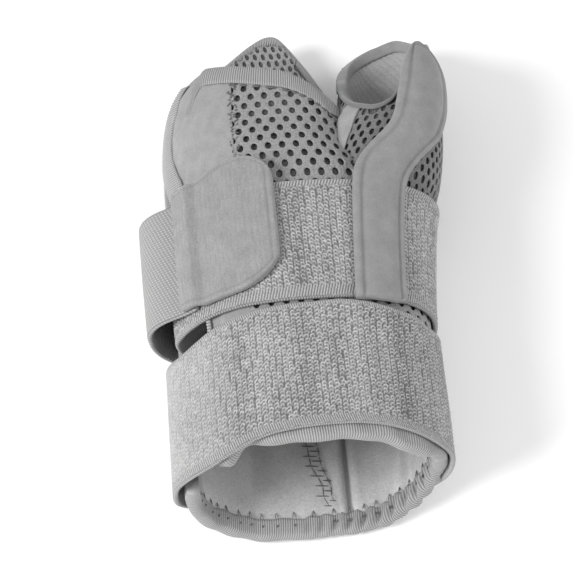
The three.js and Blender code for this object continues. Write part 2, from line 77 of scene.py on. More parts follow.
FLOOR = BAND_OUT
ROUNDNESS = 0.87
SLEEVE_FROM = 0.43
ROW_SHIFT = np.array([-3.0356, -90.2580, 0.0])

# Sections of the hand's hollow. at: share of LENGTH. left, right, wrap: shares of HALF_WIDTH. top, rise:
# shares of HEIGHT.
HAND_COLUMNS = ("at", "left", "right", "wrap", "top", "rise")
HAND_SECTIONS = (
    (-0.06, 1.0, 0.94, 0.94, 1.0, -0.06),
    (0.1, 1.0, 0.975, 0.975, 1.01, -0.06),
    (0.28, 1.0, 1.0, 1.0, 1.02, -0.06),
    (0.417, 1.02, 1.06, 1.08, 1.03, -0.06),
    (0.517, 1.03, 1.12, 1.17, 1.03, -0.06),
    (0.578, 1.03, 0.94, 1.28, 1.01, -0.06),
    (0.622, 1.04, 0.7, 1.3, 0.97, -0.06),
    (0.694, 1.03, 0.58, 1.36, 0.89, -0.06),
    (0.778, 0.99, 0.55, 1.4, 0.8, -0.05),
    (0.833, 0.94, 0.52, 1.4, 0.76, -0.03),
    (0.889, 0.84, 0.5, 1.4, 0.71, 0.03),
    (0.956, 0.66, 0.46, 1.4, 0.67, 0.13),
    (1.04, 0.4, 0.36, 1.4, 0.65, 0.28),
)

# Sections of the thumb's hollow. across: share of HALF_WIDTH. half: share of THUMB_HALF_WIDTH.
THUMB_COLUMNS = ("at", "across", "half", "top", "rise")
THUMB_SECTIONS = (
    (0.42, 0.58, 0.85, 0.85, 0.08),
    (0.528, 0.69, 0.92, 0.91, 0.05),
    (0.56, 0.78, 0.95, 0.95, 0.05),
    (0.639, 0.89, 0.95, 0.955, 0.09),
    (0.75, 0.995, 0.85, 0.92, 0.15),
    (0.833, 1.03, 0.79, 0.88, 0.19),
    (0.96, 1.01, 0.7, 0.8, 0.24),
)

# Ends of the walls along Y by the angle round a section, as shares of LENGTH. They lie up to 5 mm from the ends
# of the CAD solids.
EDGE_COLUMNS = ("angle", "forearm", "fingers")
HAND_EDGES = (
    (-180, 0.012, 0.84),
    (-160, 0.003, 0.885),
    (-135, -0.008, 0.955),
    (-110, -0.016, 1.005),
    (-85, -0.018, 1.02),
    (-60, -0.006, 0.97),
    (-35, 0.02, 0.885),
    (-10, 0.041, 0.79),
    (20, 0.033, 0.75),
    (33, 0.0245, 0.75),
    (45, 0.0235, 0.757),
    (60, 0.036, 0.782),
    (70, 0.0395, 0.8),
    (90, 0.0427, 0.83),
    (112, 0.0457, 0.855),
    (124, 0.0465, 0.863),
    (131, 0.023, 0.866),
    (137, 0.026, 0.865),
    (180, 0.016, 0.862),
)
THUMB_EDGES = (
    (-180, 0.845),
    (-150, 0.91),
    (-110, 0.96),
    (-60, 0.985),
    (-30, 0.962),
    (0, 0.92),
    (40, 0.875),
    (62, 0.85),
    (80, 0.758),
    (92, 0.716),
    (120, 0.722),
    (150, 0.77),
    (180, 0.845),
)

# Angles of the open side's two edges. at: share of LENGTH.
BACK_EDGE = -172
SLIT_COLUMNS = ("at", "front", "back")
SLIT = (
    (-0.06, 137, BACK_EDGE),
    (0.3, 138, BACK_EDGE),
    (0.417, 145, BACK_EDGE),
    (0.528, 157, BACK_EDGE),
    (0.611, 168, -173),
    (0.7, 174, -174),
    (0.78, 168, -174),
    (0.83, 152, -173),
    (0.87, 132, BACK_EDGE),
    (1.04, 132, BACK_EDGE),
)
SMOOTH_TO_MESH = 112
MESH_TO_BACK = -32

WRIST_STRAP_EDGES = (
    (-180, 0.02),
    (-135, 0.046),
    (-90, 0.046),
    (-45, 0.046),
    (0, 0.042),
    (45, 0.038),
    (90, 0.036),
    (135, 0.018),
    (180, 0.02),
)
# How far the low and the top edge of the drawn strap lie from those of the CAD strap, in mm, by the angle
STRAP_SHIFTS = (
    (-180, 0, -4),
    (-90, 0, -1),
    (0, 0, -5),
    (30, 0.5, -5.2),
    (51, 2.6, -3.5),
    (68, 4, -1.5),
    (90, 4.5, 0),
    (112, 4.2, 0),
    (130, 1.9, -0.8),
    (153, 0, -4.6),
    (180, 0, -4),
)

# Edges of the stay cover, as angles round hand and thumb together and round the thumb alone
COVER_COLUMNS = ("at", "left", "right", "thumb_left", "thumb_right")
COVER_EDGES = (
    (0.255, 72, 49, 108, 62),
    (0.36, 71, 49, 108, 62),
    (0.5, 70, 48, 106, 60),
    (0.6, 69, 45, 95, 47),
    (0.66, 68, 43, 86, 37),
    (0.72, 68, 42, 83, 28),
    (0.79, 68, 40, 79, 26),
    (0.85, 68, 40, 77, 38),
)
COVER_TO = 0.85
COVER_TIP = 0.135
COVER_TIP_NARROWS = 0.82
LOOP_BAND_FROM = 53
STRAP_JOINT = -52
CLOSING_FROM = 55.5


def curve_through(rows, value):
    """The CAD source's cubic curve through a table's first column and another."""
    at = np.array([row[0] for row in rows], float)
    values = np.array([row[value] for row in rows], float)
    last = len(at) - 1

    def evaluate(x):
        x = np.clip(np.asarray(x, float), at[0], at[-1])
        high = np.clip(np.searchsorted(at, x, side="right"), 1, last)
        low = high - 1
        before = np.where(low > 0, low - 1, high)
        after = np.where(high < last, high + 1, low)
        half = (at[high] - at[low]) / 2
        weight_before = half / (at[low] - at[before])
        weight_after = half / (at[after] - at[high])
        p = (x - at[low]) / (at[high] - at[low])
        square = p * p
        cube = square * p
        return (
            (-weight_before * cube + 2 * weight_before * square - weight_before * p) * values[before]
            + ((1 + weight_before) * cube + (-1.5 - 2 * weight_before) * square) * values[low]
            + ((-0.5 + weight_before) * p + 1) * values[low]
            + ((-1 - weight_after) * cube + (1.5 + weight_after) * square + 0.5 * p) * values[high]
            + (weight_after * cube - weight_after * square) * values[after]
        )

    return evaluate


def curves(rows, columns):
    return {name: curve_through(rows, k) for k, name in enumerate(columns) if k}


HAND = curves(HAND_SECTIONS, HAND_COLUMNS)
THUMB = curves(THUMB_SECTIONS, THUMB_COLUMNS)
EDGES = curves(HAND_EDGES, EDGE_COLUMNS)
OPEN_SIDE = curves(SLIT, SLIT_COLUMNS)
COVER_SIDES = curves(COVER_EDGES, COVER_COLUMNS)
thumb_edge_share = curve_through(THUMB_EDGES, 1)
wrist_strap_edge = curve_through(WRIST_STRAP_EDGES, 1)
strap_low_shift = curve_through(STRAP_SHIFTS, 1)
strap_top_shift = curve_through(STRAP_SHIFTS, 2)


def lerp(a, b, t):
    return a + (b - a) * t


def smoothstep(x, low, high):
    t = np.clip((np.asarray(x, float) - low) / (high - low), 0, 1)
    return t * t * (3 - 2 * t)


def rounded(value):
    return np.sign(value) * np.abs(value) ** ROUNDNESS


def section_point(angle, y, out, middle, left, right, top, rise):
    turn = np.radians(angle)
    side = np.where(np.cos(turn) < 0, left, right)
    centre = FLOOR + (top + rise) * HEIGHT / 2
    half = (top - rise) * HEIGHT / 2
    z = np.maximum(centre + (half + out) * rounded(np.sin(turn)), FLOOR - out)
    x = middle + (side + out) * rounded(np.cos(turn))
    return np.stack(np.broadcast_arrays(x, y, z), -1)


def hand_section(y, right="right"):
    """The middle, left, right, top and rise of the hand's hollow at y."""
    at = y / LENGTH
    return 0, HAND["left"](at) * HALF_WIDTH, HAND[right](at) * HALF_WIDTH, HAND["top"](at), HAND["rise"](at)


def thumb_section(y):
    at = y / LENGTH
    half = THUMB["half"](at) * THUMB_HALF_WIDTH
    return THUMB["across"](at) * HALF_WIDTH, half, half, THUMB["top"](at), THUMB["rise"](at)


def hand_point(angle, y, out):
    return section_point(angle, y, out, *hand_section(y))


def wrap_point(angle, y, out):
    """A point round hand and thumb together."""
    return section_point(angle, y, out, *hand_section(y, "wrap"))


def thumb_point(angle, y, out):
    return section_point(angle, y, out, *thumb_section(y))


def depth_in(points, middle, left, right, top, rise):
    """How deep points lie in a section's hollow, in mm, less than 0 outside."""
    centre = FLOOR + (top + rise) * HEIGHT / 2
    half = (top - rise) * HEIGHT / 2
    x = points[..., 0] - middle
    side = np.where(x < 0, left, right)
    power = 2 / ROUNDNESS
    share = (np.abs(x / side) ** power + np.abs((points[..., 2] - centre) / half) ** power) ** (1 / power)
    return (1 - share) * np.minimum(side, half)


def depth_in_hand(points):
    return depth_in(points, *hand_section(points[..., 1]))


def depth_in_thumb(points):
    y = points[..., 1]
    return np.where(y / LENGTH < SLEEVE_FROM, -THUMB_HALF_WIDTH, depth_in(points, *thumb_section(y)))


def forearm_edge(angle):
    return EDGES["forearm"](angle) * LENGTH


def finger_edge(angle):
    return EDGES["fingers"](angle) * LENGTH


def thumb_edge(angle):
    return thumb_edge_share(angle) * LENGTH


def turn_of(width):
    return np.degrees(width / HALF_WIDTH)


# Fine forms, as heights over a cloth's face at places in mm
RANDOM = np.random.default_rng(41).random((4096, 4)) * 2 - 1


def scatter(column, row, channel):
    """A steady random number from -1 to 1 for a cell."""
    return RANDOM[(column.astype(int) * 193 + row.astype(int) * 977) % 4096, channel]


def waves(u, v, size, seed):
    """Soft irregular swells about `size` mm long, from -1 to 1."""
    total = np.zeros(np.broadcast(u, v).shape)
    for k in range(5):
        a, b, c, _ = RANDOM[seed * 7 + k]
        total += np.sin((u * (0.6 + 0.5 * a) + v * b * 1.2) * 2 * np.pi / size + 9 * c)
    return total / 3


def loop_pile(u, v, across, along):
    """Heights from 0 to 1 of a loop face: wales of small arches, one over the other, with gaps between the wales."""
    column = np.floor(u / across)
    height = np.zeros(np.broadcast(u, v).shape)
    for step_column in (-1, 0, 1):
        i = column + step_column
        start = 0.5 * along * scatter(i, 0 * i, 2)
        row = np.floor((v - start) / along)
        for step_row in (-1, 0, 1):
            j = row + step_row
            middle_u = (i + 0.5 + 0.12 * scatter(i, j, 0)) * across
            middle_v = (j + 0.5 + 0.16 * scatter(i, j, 1)) * along + start
            du, dv = (u - middle_u) / (0.37 * across), (v - middle_v) / (0.52 * along)
            ring = np.exp(-(((np.hypot(du, dv) - 0.85) / 0.34) ** 2))
            crown = 0.4 + 0.6 * smoothstep(dv + 0.4 * scatter(i, j, 3) * du, -0.9, 0.5)
            height = np.maximum(height, ring * crown * (0.86 + 0.14 * scatter(i, j, 2)))
    return height


def ribs(u, pitch):
    return 0.5 + 0.5 * np.cos(2 * np.pi * u / pitch)


def ridge(x, middle, half):
    return np.exp(-(((x - middle) / half) ** 2))


# Mesh making
WELD = 2e-6
STRAP_EDGE = 0.8  # roundness of a strap's edges
SELVAGE = 1.2  # over which a strap's relief rises from its edge
INNER_FACE = 100  # how far the UVs of a strap's inner face lie from those of its outer face


def new_piece(name, mesh, cloth, slot, *nodes):
    piece = bpy.data.objects.new(name, mesh)
    bpy.context.scene.collection.objects.link(piece)
    mesh.materials.append(cloth)
    mesh.shade_smooth()
    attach(piece, "root")
    if nodes:
        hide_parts(*nodes)
    return piece


def in_row(points):
    """Points of the CAD source, in mm, as places in the row's frame, in metres."""
    return (points + ROW_SHIFT) / 1000


def even_shares(place, steps=600):
    """A path's length in mm, and the shares along it that are evenly spaced over that length."""
    s = np.linspace(0, 1, steps)
    points = place(s)
    run = np.concatenate([[0], np.cumsum(np.linalg.norm(np.diff(points, axis=0), axis=1))])
    return run[-1], lambda share: np.interp(share, run / run[-1], s)


def finished(bm, mesh=None):
    """Writes a bmesh to a mesh, a new one if there is none yet, and frees it."""
    if mesh is None:
        mesh = bpy.data.meshes.new("cloth")
    bm.to_mesh(mesh)
    bm.free()
    return mesh


def started(mesh):
    bm = bmesh.new()
    bm.from_mesh(mesh)
    return bm


def places_of(mesh):
    flat = np.empty(len(mesh.vertices) * 3, np.float32)
    mesh.vertices.foreach_get("co", flat)
    return flat.reshape(-1, 3).astype(float)


def move_to(mesh, points):
    mesh.vertices.foreach_set("co", in_row(points).astype(np.float32).ravel())


def grid_cloth(columns, rows, place, keep=None, weld=True, capped=False):
    """A grid bent to place(s, t), which gives points, UVs in mm and a value for the cloth's tint attribute: its tone
    together with painted shade and painted highlights.
    """
    bm = bmesh.new()
    bmesh.ops.create_grid(bm, x_segments=columns, y_segments=rows, size=0.5)
    mesh = finished(bm)
    share = np.round(places_of(mesh) + 0.5, 7)
    points, uv, nap = place(share[:, 0], share[:, 1])
    move_to(mesh, points)
    corners = np.empty(len(mesh.loops), np.int32)
    mesh.loops.foreach_get("vertex_index", corners)
    layer = mesh.uv_layers.new(name="cloth")
    layer.data.foreach_set("uv", uv[corners].astype(np.float32).ravel())
    attribute = mesh.attributes.new("nap", "FLOAT", "POINT")
    attribute.data.foreach_set("value", np.broadcast_to(nap, (len(share),)).astype(np.float32))
    bm = started(mesh)
    if keep is not None:
        gone = [v for v, stays in zip(bm.verts, keep(points)) if not stays]
        bmesh.ops.delete(bm, geom=gone, context="VERTS")
    if weld:
        bmesh.ops.remove_doubles(bm, verts=bm.verts[:], dist=WELD)
    open_edges = [e for e in bm.edges if e.is_boundary]
    if capped and open_edges:
        bmesh.ops.holes_fill(bm, edges=open_edges, sides=0)
    bmesh.ops.recalc_face_normals(bm, faces=bm.faces[:])
    return finished(bm, mesh)


def row_at(around, last):
    """The row of a section's profile for a grid's share round it."""
    return np.clip(np.round(around * last).astype(int), 0, last)


def rim_profile(rows, inner_rows, edge_rows, bulge):
    """The way round a strap's section, closed: t across it, the share of its thickness out, and whether it is the
    outer face. Its edges are round."""
    turn = np.linspace(0, math.pi, edge_rows + 2)[1:-1]
    outer = np.linspace(0, 1, rows + 1)
    inner = np.linspace(1, 0, inner_rows + 1)
    round_out = 0.5 * np.sin(turn) * bulge
    t = np.concatenate([outer, np.ones(edge_rows), inner, np.zeros(edge_rows), [0.0]])
    beyond = np.concatenate([outer * 0, round_out, inner * 0, -round_out, [0.0]])
    lift = np.concatenate(
        [np.ones(rows + 1), 0.5 + 0.5 * np.cos(turn), np.zeros(inner_rows + 1), 0.5 - 0.5 * np.cos(turn), [1.0]]
    )
    face = np.concatenate([np.ones(rows + 1), np.zeros(len(t) - rows - 2), [1.0]])
    return t, beyond, lift, face


def strap_cloth(path, width, thickness, relief, pitch, rows, ring=False):
    """A strap along path(s, across_mm, out), with a relief(u, v) in mm over its outer face that also tints it: for
    loops, painted shade between them and painted highlight on their tops.
    """
    run, share = even_shares(lambda s: path(s, np.full_like(s, width / 2), 0 * s))
    t, beyond, lift, face = rim_profile(rows, inner_rows=8, edge_rows=4, bulge=STRAP_EDGE)
    last = len(t) - 1

    def place(s, around):
        k = row_at(around, last)
        u = s * run
        v = t[k] * width
        inset = smoothstep(v, 0, SELVAGE) * (1 - smoothstep(v, width - SELVAGE, width))
        if ring:
            u = np.where(s >= 1, 0 * u, u)
        height, nap = relief(u, v, run)
        height = height * face[k] * inset
        points = path(share(s), v + beyond[k] * thickness, lift[k] * thickness + height)
        uv = np.stack([s * run, v + INNER_FACE * (1 - face[k])], -1)
        return points, uv, lerp(0.5, nap, face[k])

    return grid_cloth(int(run / pitch), last, place, capped=True)


# Materials
NOISE_RANGE = 0.3, 0.7  # of a noise's usual values


class Finish:
    """A cloth's material: its nodes are added one by one, then joined to the shader."""

    def __init__(self, name, roughness, sheen=0.0):
        self.material = bpy.data.materials.new(name)
        self.material.use_nodes = True
        self.tree = self.material.node_tree
        self.shader = self.tree.nodes["Principled BSDF"]
        self.shader.inputs["Roughness"].default_value = roughness
        self.shader.inputs["Specular IOR Level"].default_value = 0.25
        self.shader.inputs["Sheen Weight"].default_value = sheen
        self.shader.inputs["Sheen Roughness"].default_value = 0.5

    def node(self, kind, inputs=(), **settings):
        node = self.tree.nodes.new("ShaderNode" + kind)
        for name, value in settings.items():
            setattr(node, name, value)
        for name, value in dict(inputs).items():
            if isinstance(value, bpy.types.NodeSocket):
                self.tree.links.new(value, node.inputs[name])
            else:
                node.inputs[name].default_value = value
        return node

    def place(self):
        """Object coordinates in mm."""
        inputs = {0: self.node("TexCoord").outputs["Object"], 1: (1000, 1000, 1000)}
        return self.node("VectorMath", inputs, operation="MULTIPLY").outputs[0]

    def along_and_across(self):
        """The cloth's own coordinates in mm."""
        cloth = self.node("SeparateXYZ", {0: self.node("UVMap", uv_map="cloth").outputs[0]})
        return cloth.outputs["X"], cloth.outputs["Y"]

    # The tint attribute: the cloth's tone together with painted shade in grooves and gaps and painted highlights on
    # raised parts.
    def nap(self):
        return self.node("Attribute", attribute_name="nap").outputs["Fac"]

    def noise(self, place, scale, detail=2.0, stretch=None):
        if stretch:
            place = self.node("Mapping", {"Vector": place, "Scale": stretch}).outputs[0]
        return self.node("TexNoise", {"Vector": place, "Scale": scale, "Detail": detail}).outputs["Fac"]

    def maths(self, operation, a, b=0.0, c=0.0):
        return self.node("Math", {0: a, 1: b, 2: c}, operation=operation).outputs[0]

    def remap(self, value, low, high, to_low, to_high):
        inputs = {"Value": value, "From Min": low, "From Max": high, "To Min": to_low, "To Max": to_high}
        return self.node("MapRange", inputs).outputs[0]

    def times(self, shade, value, low, high, to_low, to_high):
        return self.maths("MULTIPLY", shade, self.remap(value, low, high, to_low, to_high))

    def speckled(self, shade, noise, dark, light):
        """A shade times a noise, which goes from dark to light over its usual range."""
        return self.times(shade, noise, *NOISE_RANGE, dark, light)

    def mix(self, factor, a, b):
        """a where the factor is 0 and b where it is 1, for numbers."""
        return self.maths("MULTIPLY_ADD", factor, self.maths("SUBTRACT", b, a), a)

    def colour(self, shade, tint):
        """The base colour is tint times shade."""
        grey = self.node("CombineColor", {0: shade, 1: shade, 2: shade}).outputs[0]
        inputs = {"Factor": 1.0, "A": grey, "B": (*tint, 1.0)}
        mixed = self.node("Mix", inputs, data_type="RGBA", blend_type="MULTIPLY")
        self.tree.links.new(mixed.outputs["Result"], self.shader.inputs["Base Color"])

    def bump(self, height, distance, strength=1.0):
        bump = self.node("Bump", {"Height": height, "Distance": distance / 1000, "Strength": strength})
        self.tree.links.new(bump.outputs[0], self.shader.inputs["Normal"])
        return self.material

    def wave(self, value, pitch, phase=0.0):
        """From 0 to 1, a cosine of a value in mm."""
        turned = self.maths("MULTIPLY_ADD", value, 2 * math.pi / pitch, phase)
        return self.maths("MULTIPLY_ADD", self.maths("COSINE", turned), 0.5, 0.5)


def pile_finish(name, tint, rib, low, high, width):
    """Loop cloth: its tint follows the tint attribute, painted shade in the ground between the loops and painted
    highlight on their tops, with fine fibres over it. low, high: widths of its ribbed selvages, painted darker
    between their ribs.
    """
    dark, light = LOOP_PAINTED_SHADES
    finish = Finish(name, 0.92, 0.25)
    along, across = finish.along_and_across()
    fibre = finish.noise(finish.place(), 2.6, 3.0)
    soft = finish.noise(finish.place(), 0.35, 1.0)
    shade = finish.remap(finish.nap(), 0.1, 0.75, dark, light)
    shade = finish.speckled(shade, fibre, 0.74, 1.22)
    shade = finish.speckled(shade, soft, 0.94, 1.06)
    height = finish.maths("MULTIPLY_ADD", finish.nap(), 0.5, fibre)
    comb = finish.wave(finish.maths("MULTIPLY_ADD", across, 0.25, along), rib)
    ragged = finish.maths("MULTIPLY_ADD", fibre, 1.6, -0.8)
    from_low = finish.maths("SUBTRACT", low, finish.maths("ADD", across, ragged))
    from_high = finish.maths("SUBTRACT", finish.maths("ADD", across, ragged), width - high)
    selvage = finish.remap(finish.maths("MAXIMUM", from_low, from_high), -0.5, 0.5, 0.0, 0.85)
    # The selvages' ribs are painted lighter on their tops and darker between them: painted shade.
    shade = finish.mix(selvage, shade, finish.remap(comb, 0.0, 1.0, dark * 1.15, light * 0.92))
    height = finish.mix(selvage, height, comb)
    finish.colour(shade, tint)
    return finish.bump(height, 0.22, 0.8)


def twill_finish(name, tint, pitch):
    """Elastic webbing: a fine diagonal grid of raised dots, in rows along the strap, painted lighter on the dots and
    darker in the gaps between them.
    """
    finish = Finish(name, 0.85, 0.15)
    along, across = finish.along_and_across()
    row = finish.maths("FLOOR", finish.maths("DIVIDE", across, pitch * 0.8))
    lean = finish.maths("MULTIPLY_ADD", row, pitch / 3, along)
    dots = finish.maths("MULTIPLY", finish.wave(lean, pitch), finish.wave(across, pitch * 0.8, math.pi))
    fibre = finish.noise(finish.place(), 3.0, 2.0)
    # Painted shade in the gaps between the raised dots, painted highlight on the dots.
    shade = finish.remap(dots, 0.0, 0.8, 0.62, 1.1)
    shade = finish.speckled(shade, fibre, 0.92, 1.08)
    finish.colour(shade, tint)
    return finish.bump(finish.maths("MULTIPLY_ADD", fibre, 0.3, dots), 0.25, 0.8)


def brushed_finish(name, tint, grain, contrast, swell, streak=None):
    """Brushed knit: short fibres and a faint cloudiness, lighter and darker with the tint attribute, which holds
    painted shade and painted highlights, and, if asked, ribs.
    """
    finish = Finish(name, 0.95, 0.3)
    place = finish.place()
    fibre = finish.noise(place, grain, 4.0)
    cloud = finish.noise(place, swell, 2.0)
    shade = finish.remap(fibre, 0.25, 0.75, 1 - contrast, 1 + contrast)
    shade = finish.speckled(shade, cloud, 0.93, 1.07)
    # Painted shade and painted highlights from the tint attribute, together with the cloth's tone.
    shade = finish.times(shade, finish.nap(), 0.0, 1.0, 0.3, 1.7)
    height = fibre
    if streak:
        lines = finish.noise(place, 1.0, 2.0, streak)
        shade = finish.speckled(shade, lines, 0.92, 1.08)
        height = finish.maths("MULTIPLY_ADD", lines, 0.6, fibre)
    finish.colour(shade, tint)
    return finish.bump(height, 0.16, 0.7)


def tape_finish(name, tint, dark=0.5):
    """Ribbed binding tape: its ribs are in the mesh, and their tint follows the tint attribute: painted shade
    between the ribs and painted highlight on their tops.
    """
    finish = Finish(name, 0.8, 0.15)
    fibre = finish.noise(finish.place(), 3.2, 2.0)
    shade = finish.remap(finish.nap(), 0.0, 0.9, dark, 1.2)
    shade = finish.speckled(shade, fibre, 0.88, 1.12)
    finish.colour(shade, tint)
    return finish.bump(fibre, 0.1, 0.5)


def net_finish(name, tint, contrast):
    """The knit face of the air mesh: fine yarn grain."""
    finish = Finish(name, 0.85, 0.2)
    place = finish.place()
    yarn = finish.noise(place, 1.7, 3.0)
    cells = finish.node("TexVoronoi", {"Vector": place, "Scale": 1.5}, feature="F1").outputs["Distance"]
    shade = finish.remap(yarn, 0.3, 0.7, 1 - contrast, 1 + contrast)
    shade = finish.times(shade, cells, 0.0, 0.7, 1.05, 0.9)
    finish.colour(shade, tint)
    return finish.bump(finish.maths("SUBTRACT", yarn, cells), 0.2, 0.8)


def finish_named(name):
    return bpy.data.materials[name]


# Settings
def tint_setting(name, description, grey):
    return bpy.props.FloatVectorProperty(name=name, description=description, subtype="COLOR", default=(grey,) * 3)


def length_setting(name, description, metres):
    return bpy.props.FloatProperty(name=name, description=description, unit="LENGTH", default=metres)


def angle_setting(name, description, degrees):
    return bpy.props.FloatProperty(
        name=name, description=description, subtype="ANGLE", default=math.radians(degrees)
    )


def power_setting(name, description, watts):
    return bpy.props.FloatProperty(name=name, description=description, unit="POWER", default=watts)


class BraceColours(bpy.types.PropertyGroup):
    """Tints of the brace's cloths."""

    loop: tint_setting("Loop cloth", "Tint of the wrist strap and loop band", 0.31)
    elastic: tint_setting("Elastic", "Tint of the closing strap", 0.36)
    brushed: tint_setting("Brushed panel", "Tint of the smooth panel and patch", 0.265)
    tab: tint_setting("Hook tab", "Tint of the two hook tabs", 0.24)
    mesh: tint_setting("Air mesh", "Tint of the net's yarn", 0.26)
    spacer: tint_setting("Spacer", "Tint of the cloth behind the net's holes", 0.085)
    cover: tint_setting("Stay cover", "Tint of the padded stay cover and the thumb's tape", 0.225)
    tape: tint_setting("Binding", "Tint of the ribbed tape", 0.30)
    lining: tint_setting("Lining", "Tint of the brushed lining", 0.43)
    # Near black: partly the thread's own colour, partly painted shade of stitches pulled into the cloth. The same
    # thread paints the shadow of the near hem's gaps.
    thread: tint_setting("Thread", "Tint of the stitches", 0.1)
    floor: tint_setting("Floor", "Tint of the floor", 0.97)


class BraceSizes(bpy.types.PropertyGroup):
    """Sizes of the brace's fine forms."""

    rib_pitch: length_setting("Rib pitch", "Distance between the tape's ribs", 0.00075)
    rib_height: length_setting("Rib height", "How far a rib stands up", 0.00022)
    hole_pitch: length_setting("Hole pitch", "Distance between the net's holes in a row", 0.0044)
    hole_row: length_setting("Hole row", "Distance between two rows of holes", 0.0042)
    hole_across: length_setting("Hole across", "Half of a hole's size round the brace", 0.0012)
    hole_along: length_setting("Hole along", "Half of a hole's size along the brace", 0.00175)
    loop_across: length_setting("Loop width", "Distance between loops in a row", 0.0017)
    loop_along: length_setting("Loop row", "Distance between rows of loops", 0.00138)


class BraceStage(bpy.types.PropertyGroup):
    """The camera and the lights."""

    distance: length_setting("Camera distance", "From the aim to the camera", 0.52)
    azimuth: angle_setting("Azimuth", "Turn of the camera round the brace", -5)
    elevation: angle_setting("Elevation", "Camera's angle above the floor", 57)
    key: power_setting("Key light", "Power of the key light", 11.5)
    fill: power_setting("Fill light", "Power of the fill light", 5.0)
    sky: bpy.props.FloatProperty(name="Sky", description="Strength of the even light from all round", default=0.56)


def colours():
    return bpy.context.scene.brace_colours


def sizes():
    return bpy.context.scene.brace_sizes


def mm(value):
    return value * 1000


# Thicknesses of the drawn sheets, in mm
LINING_CLOTH = 0.7
PANEL_CLOTH = 1.1
PATCH_CLOTH = 0.8
NET_CLOTH = 0.6
SPACER_CLOTH = 0.4
FAR_SPACER_CLOTH = 0.12
TAB_CLOTH = 0.45

# Columns and rows of the sheets' grids
PALM_GRID = 190, 110
SLEEVE_GRID = 150, 90
PANEL_GRID = 60, 150
PATCH_GRID = 24, 40
SPACER_GRID = 110, 110
THUMB_SPACER_GRID = 90, 50
FAR_SPACER_GRID = 80, 40
TAB_GRID = 130, 130

# The walls of hand and thumb
TUCK = 1.8  # how deep a panel's edge lies inside its binding
EDGE_PASSES = 4


def hem_pinch(from_edge):
    """From 0 inside a binding to 1 clear of it."""
    return smoothstep(from_edge, BINDING_WIDTH - 0.6, BINDING_WIDTH + 2.4)


def hand_wall_place(from_angle, to_angle, out, bound_front=False, bound_back=False, relief=None):
    """Places of a wall between two angles that ends inside its bindings. out(pinch) is its distance out."""

    def place(s, t):
        at = t.copy()
        for _ in range(EDGE_PASSES):
            angle = lerp(from_angle(at), to_angle(at), s)
            low, high = forearm_edge(angle) + TUCK, finger_edge(angle) - TUCK
            at = lerp(low, high, t) / LENGTH
        y = at * LENGTH
        edge = np.minimum(y - forearm_edge(angle), finger_edge(angle) - y)
        if bound_front:
            edge = np.minimum(edge, np.radians(OPEN_SIDE["front"](at) - angle) * HALF_WIDTH)
        if bound_back:
            edge = np.minimum(edge, from_back_edge(angle, at))
        pinch = hem_pinch(edge)
        height, nap = relief(angle, y, pinch) if relief else (0, 0.5 + 0 * y)
        uv = np.stack([np.radians(angle) * HALF_WIDTH, y], -1)
        return hand_point(angle, y, out(pinch) + height), uv, nap

    return place


def from_back_edge(angle, at):
    return np.radians(angle - OPEN_SIDE["back"](at)) * HALF_WIDTH


def fixed(angle):
    """An edge at the same angle all along."""
    return lambda at: angle + 0 * at


def front_tuck(at):
    return OPEN_SIDE["front"](at) - turn_of(TUCK)


def back_tuck(at):
    return OPEN_SIDE["back"](at) + turn_of(TUCK)


def panel_top(pinch):
    return lerp(PANEL_OUT - 0.45, PANEL_OUT, pinch)


def outside_thumb(depth):
    return lambda points: depth_in_thumb(points) < depth


def outside_hand(depth):
    return lambda points: depth_in_hand(points) < depth


def faced_out(mesh, section):
    """Turns an open sheet's faces to look away from the middle of the sections that they lie on."""
    bm = started(mesh)
    centres = np.array([face.calc_center_median() for face in bm.faces]) * 1000 - ROW_SHIFT
    middle, _, _, top, rise = section(centres[:, 1])
    centres[:, 0] -= middle
    centres[:, 2] -= FLOOR + (top + rise) * HEIGHT / 2
    normals = np.array([face.normal * face.calc_area() for face in bm.faces])
    if (normals * centres)[:, [0, 2]].sum() < 0:
        bmesh.ops.reverse_faces(bm, faces=bm.faces[:])
    return finished(bm, mesh)


def sheet_piece(name, mesh, section, cloth, slot, thickness, *nodes, offset=-1):
    """A piece from an open sheet with a live wall, its thickness in mm, on the sheet's inner side."""
    piece = new_piece(name, faced_out(mesh, section), cloth, slot, *nodes)
    wall = piece.modifiers.new("Wall", "SOLIDIFY")
    wall.thickness = thickness / 1000
    wall.offset = offset
    wall.use_even_offset = False
    return piece


# Lining
LINING_CREASE = -77.4
SEAM_TURN = 0.27  # degrees that the lining's seam turns for each mm along Y


def lining_seam(y):
    return -85.6 - SEAM_TURN * (y - 8)


def lining_relief(angle, y, pinch):
    """Folds of the lining, less than 0 into the hollow, and their tint: painted shade in the crease and along the
    sewn ridge, painted highlight on the folds, a lighter strip beside the seam and random tone.
    """
    near = 1 - smoothstep(y, 45, 80)
    crease = ridge(angle, LINING_CREASE, 1.2)
    roll = ridge(angle, LINING_CREASE + 5, 3.2) + 0.8 * ridge(angle, LINING_CREASE - 4.2, 2.4)
    fold = ridge(angle, -50 + 0.3 * y, 2.6) + ridge(angle, -41 + 0.32 * y, 2.2)
    sewn = ridge(angle, lining_seam(y) + 2.2, 0.9)
    height = near * (2.2 * crease - 1.0 * roll - 0.7 * fold + 0.4 * sewn) + 0.3 * waves(angle * 0.6, y, 24, 3)
    strip = smoothstep(angle, lining_seam(y) + 1, lining_seam(y) + 3)
    # Painted shade in the crease and on the sewn ridge, painted highlight on the folds.
    nap = 0.46 + 0.02 * strip - 0.45 * near * crease - 0.12 * near * sewn + 0.05 * near * fold
    return height * pinch * 0.9, nap + 0.03 * waves(angle, y, 17, 6)


def lining_finish(name, share):
    tint = [share * part for part in colours().lining]
    return brushed_finish(name, tint, grain=1.5, contrast=0.16, swell=0.12)


